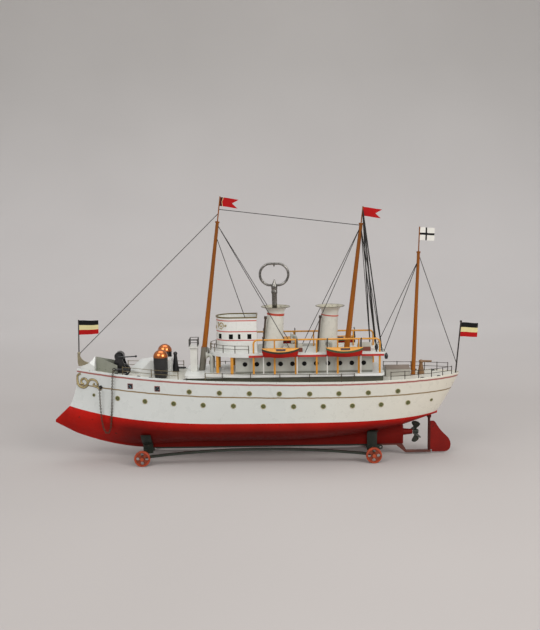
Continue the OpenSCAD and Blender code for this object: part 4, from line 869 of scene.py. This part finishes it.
def bow_scrolls():
    s = Shape()
    strokes = ((SCROLL_CURL, 1.7, 0.8), (SCROLL_BRANCH, 1.5, 0.7), (SCROLL_LAST, 1.3, 0.6))
    outline_and_gilt = ((0.05, 0.45, 1), (0.75, 0.0, 0))
    for side in (-1, 1):
        for pts, thick, thin in strokes:
            for lift, more, mat in outline_and_gilt:
                way = []
                for a, b in flowing(pts):
                    x, z = SCROLL_X + a, SCROLL_Z + b
                    x = max(x, stem_x(topsides_r(x, z)) + 1.0)
                    way.append(on_hull(x, z, side, lift).translation)

                def swell(t):
                    return mix(thin + more, thick + more, math.sin(math.pi * unit(t * 0.9 + 0.08)) ** 0.6)

                s.tube(way, swell, 10, mat, flat=0.6)
    return s.make("bow_scroll_gilt", [M["gilt"], M["scroll_edge"]], replaces=("bow_scrolls",), angle=80)


bow_scrolls()

# Anchor chain

ANCHOR = (-202.0, -19.5, 142.0)
RING = (ANCHOR[0] - 23.6, ANCHOR[1], ANCHOR[2])
CHAIN = [(-247.9, -side_y(-247, 115) - 2, 115), (-247.9, -22.5, 112), (-247.6, -23.5, 95), (-246.8, -24, 76),
         (-245.2, -24.2, 60), (-242, -24.4, 49), (-238, -24.6, 46.2), (-234.5, -24.8, 50), (-232, -25.2, 62),
         (-229.8, -26, 90), (-228, -27, 118), (-226.8, -27.4, 135), (-226, -26.2, 140.5),
         (RING[0], RING[1] - 1.6, RING[2])]
LINK_STEP, LINK_LAP, LINK_HALF, LINK_WIRE = 2.35, 0.22, 1.05, 0.5


def anchor_chain():
    s = Shape()
    pts, total = resample(CHAIN, LINK_STEP)
    corners = 14
    for i in range(len(pts) - 1):
        mid, d = (pts[i] + pts[i + 1]) / 2, pts[i + 1] - pts[i]
        half = d.length / 2 + LINK_LAP
        turn = Vector((1, 0.2, 0.1)) if i % 2 else Vector((-0.2, 1, 0.1))
        if abs(d.normalized().dot(turn)) >= 0.97:
            turn = Vector((0, 0.3, 1))
        at = place_at(mid, d, turn)
        link = []
        for k in range(corners):
            a = 2 * math.pi * k / corners
            along = half * math.copysign(abs(math.cos(a)) ** 0.8, math.cos(a))
            link.append(at @ Vector((along, LINK_HALF * math.sin(a), 0)))
        s.tube(link, LINK_WIRE, 6, closed=True)
    obj = s.make("chain_links", [M["iron"]], replaces=("anchor_chain",), angle=80)
    tuple(c * MM for c in pts[0])
    [tuple(c * MM for c in p) for p in pts]
    return obj


anchor_chain()

# Flags of painted tin

def up_mast(foot_x, foot_z, rake, h):
    return (foot_x + rake * h, foot_z + h)


FORE_TOP = up_mast(FORE_X, PROM_TOP, FORE_RAKE, 259)
MAIN_TOP = up_mast(MAIN_X, BOAT_TOP, MAIN_RAKE, 214)
MIZZEN_TOP = up_mast(MIZZEN_X, deck_z(MIZZEN_X) - 0.4, MIZZEN_RAKE, 222)
JACK_TOP = (STEM_TOP + 5.88, 215.0)
STAFF_TOP = (295.0, 204.0)
TIN_HALF = 0.3


def flag(name, corners, pick, notch=0.0, phase=0.0):
    """corners: hoist top, hoist foot, fly foot, fly top, each (x, z). pick gives the paint at (u, v)."""
    s = Shape()
    a, b, c, d = (Vector(p) for p in corners)
    nu, nv, wave = 40, 24, 0.9

    def at(i, j, off):
        u, v = i / nu, j / nv
        u *= 1 - notch * max(0.0, 1 - abs(v - 0.52) / 0.48)
        p = a.lerp(d, u).lerp(b.lerp(c, u), v)
        y = wave * math.sin(2 * math.pi * (1.05 * u + 0.12 * v) + phase) * min(1, u * 2.2)
        return (p[0], y + off, p[1] + 0.25 * math.sin(5 * u + phase))

    def sheet(off):
        return [[at(i, j, off) for i in range(nu + 1)] for j in range(nv + 1)]

    front, back = sheet(-TIN_HALF), sheet(TIN_HALF)
    mats = []

    def index(i, j):
        m = pick((j + 0.5) / nu, (i + 0.5) / nv)
        if m not in mats:
            mats.append(m)
        return mats.index(m)

    s.grid(front, mats=index)
    s.grid(back, mats=index)
    for j in (0, nv):
        s.grid([front[j], back[j]], mats=lambda i, k, j=j: index(min(j, nv - 1), k))
    for i in (0, nu):
        s.grid([[row[i] for row in front], [row[i] for row in back]],
               mats=lambda r, k, i=i: index(k, min(i, nu - 1)))
    return s.make(name, [M[m] for m in mats], angle=50)


def stripes(u, v):
    return "flag_black" if v < 0.335 else "flag_cream" if v < 0.665 else "flag_red"


def pennant(u, v):
    return "flag_maroon" if u < 0.17 else "flag_cream" if u < 0.21 else "flag_red"


def plain_red(u, v):
    return "flag_red"


def cross(u, v):
    return "flag_black" if abs(u - 0.45) < 0.055 or abs(v - 0.5) < 0.07 else "flag_white"


def hung(top, *offsets):
    return [(top[0] + dx, top[1] + dz) for dx, dz in offsets]


def tail(top, lean, length, h=13.0, droop=4):
    return hung(top, (0, 0), (-lean * h, -h), (length - 1.5, -h - droop), (length, -droop))


flags = [
    flag("flag_fore", tail(FORE_TOP, FORE_RAKE, 27), pennant, notch=0.32),
    flag("flag_main", tail(MAIN_TOP, MAIN_RAKE, 28), plain_red, notch=0.32, phase=0.6),
    flag("flag_mizzen", hung(MIZZEN_TOP, (0, 0), (-MIZZEN_RAKE * 19, -19), (22, -20), (22.5, -1)),
         cross, phase=0.3),
    flag("flag_bow", hung(JACK_TOP, (0, -1), (-JACK_LEAN * 22, -23), (29, -21.3), (29.5, -1)),
         stripes, phase=0.9),
    flag("flag_stern", hung(STAFF_TOP, (-0.1, -1.5), (-2.4, -23), (24.8, -24), (26.0, -3)),
         stripes, phase=0.2),
]
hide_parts("flags")

# Lifeboats with their covers

def lifeboats():
    s = Shape()
    length, beam, depth, sheer = 54.0, 17.0, 10.0, 4.0
    ridge = depth + sheer + 0.6
    side_ws = [0.02, 0.06, 0.12, 0.2, 0.3, 0.42, 0.55, 0.66, 0.7, 0.78, 0.88, 0.95, 1.0]
    roof = [(0.93, 0.06), (0.84, 0.24), (0.68, 0.55), (0.5, 0.74), (0.34, 0.87), (0.18, 0.96), (0.03, 1.0)]
    red, black, cover, well, green = range(5)
    n = 48
    for cx, stripe in ((22.0, black), (115.0, green)):
        for side in (-1, 1):
            cy = side * (BOAT_HALF + beam / 2 + 2)
            loops, ts = [], []
            for i in range(n + 1):
                t = mix(-math.cos(math.pi * i / n), -1 + 2 * i / n, 0.35)
                ts.append(t)
                b = max(0.5, beam / 2 * (1 - abs(t) ** 2.4) ** 0.8)
                low, high = sheer * t * t * 0.8, depth + sheer * t * t
                prof = []
                for w in side_ws:
                    lip = 0.4 * min(1, b / 4) if w > 0.68 else 0.0
                    rake = 1 - 0.07 * (1 - w) * t * t
                    prof.append((t * length / 2 * rake, max(0.4, b * w ** 0.45) + lip, mix(low, high, w)))
                for f, h in roof:
                    dip = 0.5 * math.exp(-((f - 0.42) / 0.16) ** 2) if abs(t) < 0.24 else 0.0
                    prof.append((t * length / 2, max(0.3, b * f), mix(high, ridge, h) - dip))
                loops.append([(cx + x, cy - y, LIFEBOAT_Z + z) for x, y, z in prof]
                             + [(cx + x, cy + y, LIFEBOAT_Z + z) for x, y, z in reversed(prof)])
            m = len(loops[0])

            def pick(i, j):
                k = j if j < m // 2 else m - 2 - j
                if j == m - 1 or k < 8:
                    return red
                if k < 12:
                    return stripe
                return well if 14 <= k <= 16 and abs(ts[i]) < 0.25 else cover

            s.grid(loops, wrap=True, caps=True, mats=pick)
    return s.make("lifeboat_skins",
                  [M["boat_red"], M["black_green"], M["ochre"], M["well"], M["boat_green"]],
                  replaces=("lifeboat_hulls", "lifeboat_covers"), angle=45)


lifeboats()

# The key and the upper works

def key_skin():
    s = Shape()
    foot, neck, bow = 206.5, 251.0, 279.0
    lobe, lobe_x, wire = 16.2, 5.0, 1.85
    pipe_r, pipe_foot_r, square_half, n = 3.85, 3.5, 1.9, 40
    at = upright(KEY_X, 0, 0)
    pipe = [(3.4, 22), (pipe_r, 22.4), (pipe_r, 30), (3.7, 31), (pipe_r, 32)]
    head = [(pipe_r, -1), (4.3, -0.4), (4.6, 0), (4.6, 3.4), (4.25, 4.2), (4.25, 5.2), (4.6, 6), (4.6, 10),
            (4.3, 11.4), (3.4, 13), (2.4, 15.6), (1.5, 18.2), (0.9, 20), (0.4, 20.6)]
    s.lathe([(r, foot + h) for r, h in pipe] + [(r, neck + h) for r, h in head], at, n, caps=(False, True))
    rows = []
    for outer, h in ((True, 22.6), (True, 0.6), (True, 0), (False, 0), (False, 21)):
        ring = []
        for k in range(n):
            a = 2 * math.pi * k / n
            c, d = math.cos(a), math.sin(a)
            r = (pipe_r if h > 0 else pipe_foot_r) if outer else square_half / max(abs(c), abs(d))
            ring.append(at @ Vector((r * c, r * d, foot + h)))
        rows.append(ring)
    s.grid(rows, wrap=True, caps=(False, True))
    path, n = [], 96
    for k in range(n):
        a = 2 * math.pi * k / n
        c = math.cos(a)
        x = math.copysign(lobe_x, c) * min(1, abs(c) * 6) + lobe * c
        path.append(at @ Vector((x, 0, bow + lobe * math.sin(a))))
    s.tube(path, wire, 16, closed=True)
    cusp = [(1.5, 15.9), (1.7, 14.6), (1.2, 13.2), (0.7, 12.0), (0.25, 11.2)]
    s.lathe(cusp, upright(KEY_X, 0, bow), 20)
    return s.make("key_skin", [M["key_steel"]], "key", angle=50, replaces=("key",))


def heavy_shrouds():
    """Two ropes of three strands a side, from the main mast to the boat deck's edge."""
    s = Shape()
    top_x, top_z = up_mast(MAIN_X, BOAT_TOP, MAIN_RAKE, 211)
    strands, turns, n = 3, 34, 160
    lay_r, strand_r = 0.5, 0.55
    for side in (-1, 1):
        for x in (163.0, 171.0):
            a, b = Vector((top_x, 0, top_z)), Vector((x, side * (BOAT_HALF - 0.8), BOAT_TOP + 3.8))
            d = (b - a).normalized()
            u = d.cross(Vector((0, 1, 0))).normalized()
            v = d.cross(u)
            for strand in range(strands):
                way = []
                for i in range(n + 1):
                    t = i / n
                    w = 2 * math.pi * (strand / strands + turns * t)
                    p = a.lerp(b, 0.006 + 0.99 * t)
                    way.append(p + u * (lay_r * math.cos(w)) + v * (lay_r * math.sin(w)))
                s.tube(way, strand_r, 6)
    return s.make("heavy_shrouds", [M["thread"]], angle=80)


def house_port_shade():
    # The near-black discs in the port holes are painted shade for the dark inside of the hollow deckhouse,
    # with grey rims round them.
    s = Shape()
    count = 11
    z = PROM_TOP + HOUSE_H * 0.55
    opening_fill = [(3.48, -0.9), (3.48, 0.02), (2.4, 0.12), (0.8, 0.18)]
    rim = [(3.45, -0.3), (3.45, 0.2), (3.6, 0.35), (3.85, 0.25), (3.9, -0.05)]
    for i in range(count):
        x = mix(-30, 145, i / (count - 1))
        for side in (-1, 1):
            at = place_at((x, side * HOUSE_HALF, z), (1, 0, 0), (0, side, 0))
            s.lathe(opening_fill, at, 28, 0, caps=(False, True))
            s.lathe(rim, at, 30, 1, caps=False)
    return s.make("deckhouse_port_shade", [M["black_fill"], M["grey"]], angle=50)


def wheelhouse_glass():
    s = Shape()
    z = WHEELHOUSE_Z + WHEELHOUSE_H * 0.45
    wide, narrow, half_h = 3.0, 1.9, 3.8

    def pane(at, half):
        rows = []
        for j in range(7):
            row = []
            for i in range(6):
                depth = -0.12 + 0.04 * math.sin(i + j)
                row.append(at @ Vector((mix(-half, half, i / 5), mix(-half_h, half_h, j / 6), depth)))
            rows.append(row)
        s.grid(rows, 0)

    for a in (-137, -93, 180, 93, 137):
        c, d = math.cos(math.radians(a)), math.sin(math.radians(a))
        pane(place_at((WHEELHOUSE_X + WHEELHOUSE_R * c, WHEELHOUSE_R * d, z), (-d, c, 0), (c, d, 0)), wide)
    for x, half in ((-38, narrow), (-23, wide)):
        for side in (-1, 1):
            pane(place_at((x, side * WHEELHOUSE_R, z), (1, 0, 0), (0, side, 0)), half)
    return s.make("wheelhouse_panes", [M["black_fill"]], angle=50)


def wheelhouse_ornament():
    s = Shape()
    z, middle, out_r = 206.4, math.radians(230), WHEELHOUSE_R + 0.1
    strokes = ((spiral(0, 0, 5.0, 1.0, -110, 400, 34), 0.95),
               (spiral(7.4, -0.4, 1.5, 0.4, 180, 700, 20), 0.9),
               (spiral(-10.5, 0.4, 5.6, 5.0, -55, 60, 16), 0.95),
               (spiral(-3.0, -8.4, 4.4, 3.2, 20, 110, 14), 0.7),
               (spiral(-14.5, -4.6, 3.2, 0.8, 60, 480, 24), 0.75))
    for side in (-1, 1):
        for pts, r in strokes:
            way = []
            for a, b in pts:
                t = middle + a / WHEELHOUSE_R
                way.append((WHEELHOUSE_X + out_r * math.cos(t), side * -out_r * math.sin(t), z + b))
            s.tube(way, lambda t, r=r: r * (0.45 + 0.55 * math.sin(math.pi * unit(t))), 8, flat=0.6)
    return s.make("wheelhouse_scrolls", [M["gilt"]], angle=80)


def cowl_linings():
    s = Shape()
    lining = [(4.72, 3.92), (4.1, 2.8), (3.1, 1.7), (1.2, 1.25), (0.3, 1.2)]
    lip = [(5.0, 3.6), (5.35, 3.8), (5.45, 4.05), (5.3, 4.3), (5.0, 4.3), (4.75, 4.0), (5.0, 3.6)]
    for x, y, z, h in ((-80, 19.5, PROM_TOP, 22), (47, 22, BOAT_TOP, 15), (97, 24, BOAT_TOP, 13)):
        for side in (-1, 1):
            at = place_at((x - 4, side * y, z + h + 4), (0, 1, 0), (-1, 0, 0))
            s.lathe(lining, at, 26, 0, caps=(False, True))
            s.lathe(lip, at, 30, 1, caps=False)
    return s.make("cowl_linings", [M["lining"], M["grey"]], angle=60)


def funnel_mouths():
    s = Shape()
    mouth_z, mouth_h, mouth_r, throat_r, steps = 58, 9.4, 20.5, 11.2, 14
    inner_face = [(11.4, 57.0), (11.9, 48.0), (13.2, 22.0), (13.9, 10.0), (13.8, 10.0), (11.8, 48.0), (11.3, 57.0),
            (11.4, 57.0)]
    rolled = [(20.6, 67.9), (21.1, 67.45), (21.6, 67.4), (21.85, 67.7), (21.7, 68.1), (21.2, 68.25),
              (20.7, 68.15), (20.6, 67.9)]
    throat = []
    for k in range(steps + 1):
        a = math.radians(88 - 88 * k / steps)
        throat.append((mix(mouth_r, throat_r, math.cos(a)) - 0.12, mouth_z + mouth_h * math.sin(a) + 0.72))
    axis = (math.sin(FUNNEL_TILT), 0, math.cos(FUNNEL_TILT))
    for x, thick, h in ((11.0, 1.7, 57.0), (92.5, 0.9, 54.4)):
        raked = place_at((x, 0, BOAT_TOP), (math.cos(FUNNEL_TILT), 0, -math.sin(FUNNEL_TILT)), axis)
        level = upright(x + mouth_z * math.tan(FUNNEL_TILT), 0, BOAT_TOP)
        # The inner wall is painted dark as the shade inside the funnel.
        s.lathe(inner_face, raked, 44, 3, caps=False)
        s.lathe(throat, level, 60, 0, caps=False)
        s.lathe(rolled, level, 64, 1, caps=False)
        r = 16 - 3.5 * (h + 6) / 64
        band = [(r - 0.1, h - thick), (r + 0.45, h + 0.15 - thick), (r + 0.6, h),
                (r + 0.4, h - 0.15 + thick), (r - 0.2, h + thick)]
        s.lathe(band, raked, 56, 2, caps=False)
    return s.make("funnel_mouths", [M["inner_face"], M["rim"], M["band"], M["deep"]], angle=60)


def deck_fittings():
    """Low fairleads along the deck edge and two lanterns aft."""
    s = Shape()
    fairlead = [(1.4, -0.3), (1.5, 0.7), (1.3, 1.5), (0.9, 1.9), (0.3, 2.05)]
    lantern = [(1.6, 0), (2.2, 0.4), (2.0, 1.2), (2.5, 2.0), (2.7, 4.2), (2.4, 6.2), (1.5, 7.2), (1.7, 7.6),
               (0.9, 8.6), (0.3, 9.2)]
    for x in (-222.5, -188, -169.5, -118, 232, 258):
        for side in (-1, 1):
            at = place_at((x, side * (deck_half(x) - 3.4), deck_z(x)), (1, side * 0.12, 0), (0, 0, 1))
            s.lathe(fairlead, at, 24, stretch=2.0)
    for x, y, z in ((168.0, 0.0, 162.9), (177.0, -41.8, 156.5)):
        s.lathe(lantern, upright(x, y, z), 24)
    return s.make("deck_scuppers", [M["black"]], angle=60)


key_skin()
heavy_shrouds()
house_port_shade()
wheelhouse_glass()
wheelhouse_ornament()
cowl_linings()
funnel_mouths()
deck_fittings()

soften("promenade_plate boat_deck bridge_deck skylights lookout_stand fore_hatch", 0.35)
soften("carriage_saddles side_bars keel_bar breakwater bow_whaleback windlass propeller rudder", 0.3)

# Studio, in metres

HALF_WIDTH, FLOOR_FRONT, WALL_TOP = 5, -3.5, 4.0
SWEEP_Y, SWEEP_R = 1.4, 1.3


def backdrop_paper():
    mat = bpy.data.materials.new("backdrop_paper")
    mat.use_nodes = True
    nt = mat.node_tree
    bsdf = nt.nodes["Principled BSDF"]
    vec = node(nt, "TexCoord", out=3)
    grain = ramp(nt, noise(nt, vec, 1.6, 2.0), 0.3, 0.7)
    floor = mixc(nt, grain, lin((184, 178, 175)), lin((189, 183, 180)))
    low = mixc(nt, grain, lin((215, 210, 208)), lin((220, 215, 213)))
    high = mixc(nt, grain, lin((204, 200, 197)), lin((209, 205, 202)))
    sep = nt.nodes.new("ShaderNodeSeparateXYZ")
    nt.links.new(vec, sep.inputs[0])
    wall = mixc(nt, ramp(nt, sep.outputs[2], 0.3, 1.0), low, high)
    put(nt, bsdf.inputs["Base Color"], mixc(nt, ramp(nt, sep.outputs[1], 0.35, 1.3), floor, wall))
    bsdf.inputs["Roughness"].default_value = 0.9
    bsdf.inputs["Specular IOR Level"].default_value = 0.1
    return mat


def backdrop():
    n = 20
    prof = [(FLOOR_FRONT, 0.0), (0.0, 0.0)]
    for i in range(n + 1):
        a = math.radians(90 * i / n)
        prof.append((SWEEP_Y + SWEEP_R * math.sin(a), SWEEP_R - SWEEP_R * math.cos(a)))
    prof.append((SWEEP_Y + SWEEP_R, WALL_TOP))
    verts = [(x, y, z) for y, z in prof for x in (-HALF_WIDTH, HALF_WIDTH)]
    faces = [(2 * i, 2 * i + 1, 2 * i + 3, 2 * i + 2) for i in range(len(prof) - 1)]
    mesh = bpy.data.meshes.new("backdrop")
    mesh.from_pydata(verts, [], faces)
    mesh.polygons.foreach_set("use_smooth", [True] * len(mesh.polygons))
    mesh.materials.append(backdrop_paper())
    obj = bpy.data.objects.new("backdrop", mesh)
    scene.collection.objects.link(obj)


def area_light(name, at, to, size, power, colour):
    data = bpy.data.lights.new(name, "AREA")
    data.shape = "RECTANGLE"
    data.size, data.size_y = size
    data.energy = power
    data.color = colour
    lamp = bpy.data.objects.new(name, data)
    scene.collection.objects.link(lamp)
    lamp.location = at
    lamp.rotation_euler = (Vector(to) - Vector(at)).to_track_quat("-Z", "Y").to_euler()


def sky():
    world = bpy.data.worlds.new("world")
    scene.world = world
    world.use_nodes = True
    nt = world.node_tree
    background = nt.nodes["Background"]
    sep = nt.nodes.new("ShaderNodeSeparateXYZ")
    nt.links.new(node(nt, "TexCoord"), sep.inputs[0])
    height = ramp(nt, sep.outputs[2], 0.05, 0.7)
    nt.links.new(mixc(nt, height, lin((212, 210, 208)), lin((250, 253, 255))), background.inputs[0])
    background.inputs[1].default_value = 0.6


backdrop()
area_light("key_light", (-1.1, -1.5, 1.7), (0, 0, 0.15), (1.3, 1.0), 14.4, (1.0, 0.99, 0.98))
area_light("fill_light", (1.3, -1.3, 1.2), (0, 0, 0.15), (1.2, 1.0), 18.8, (1.0, 0.98, 0.95))
area_light("top_light", (0, 0.3, 2.2), (0, 0.1, 0), (2.0, 1.6), 12, (1, 1, 1))
sky()
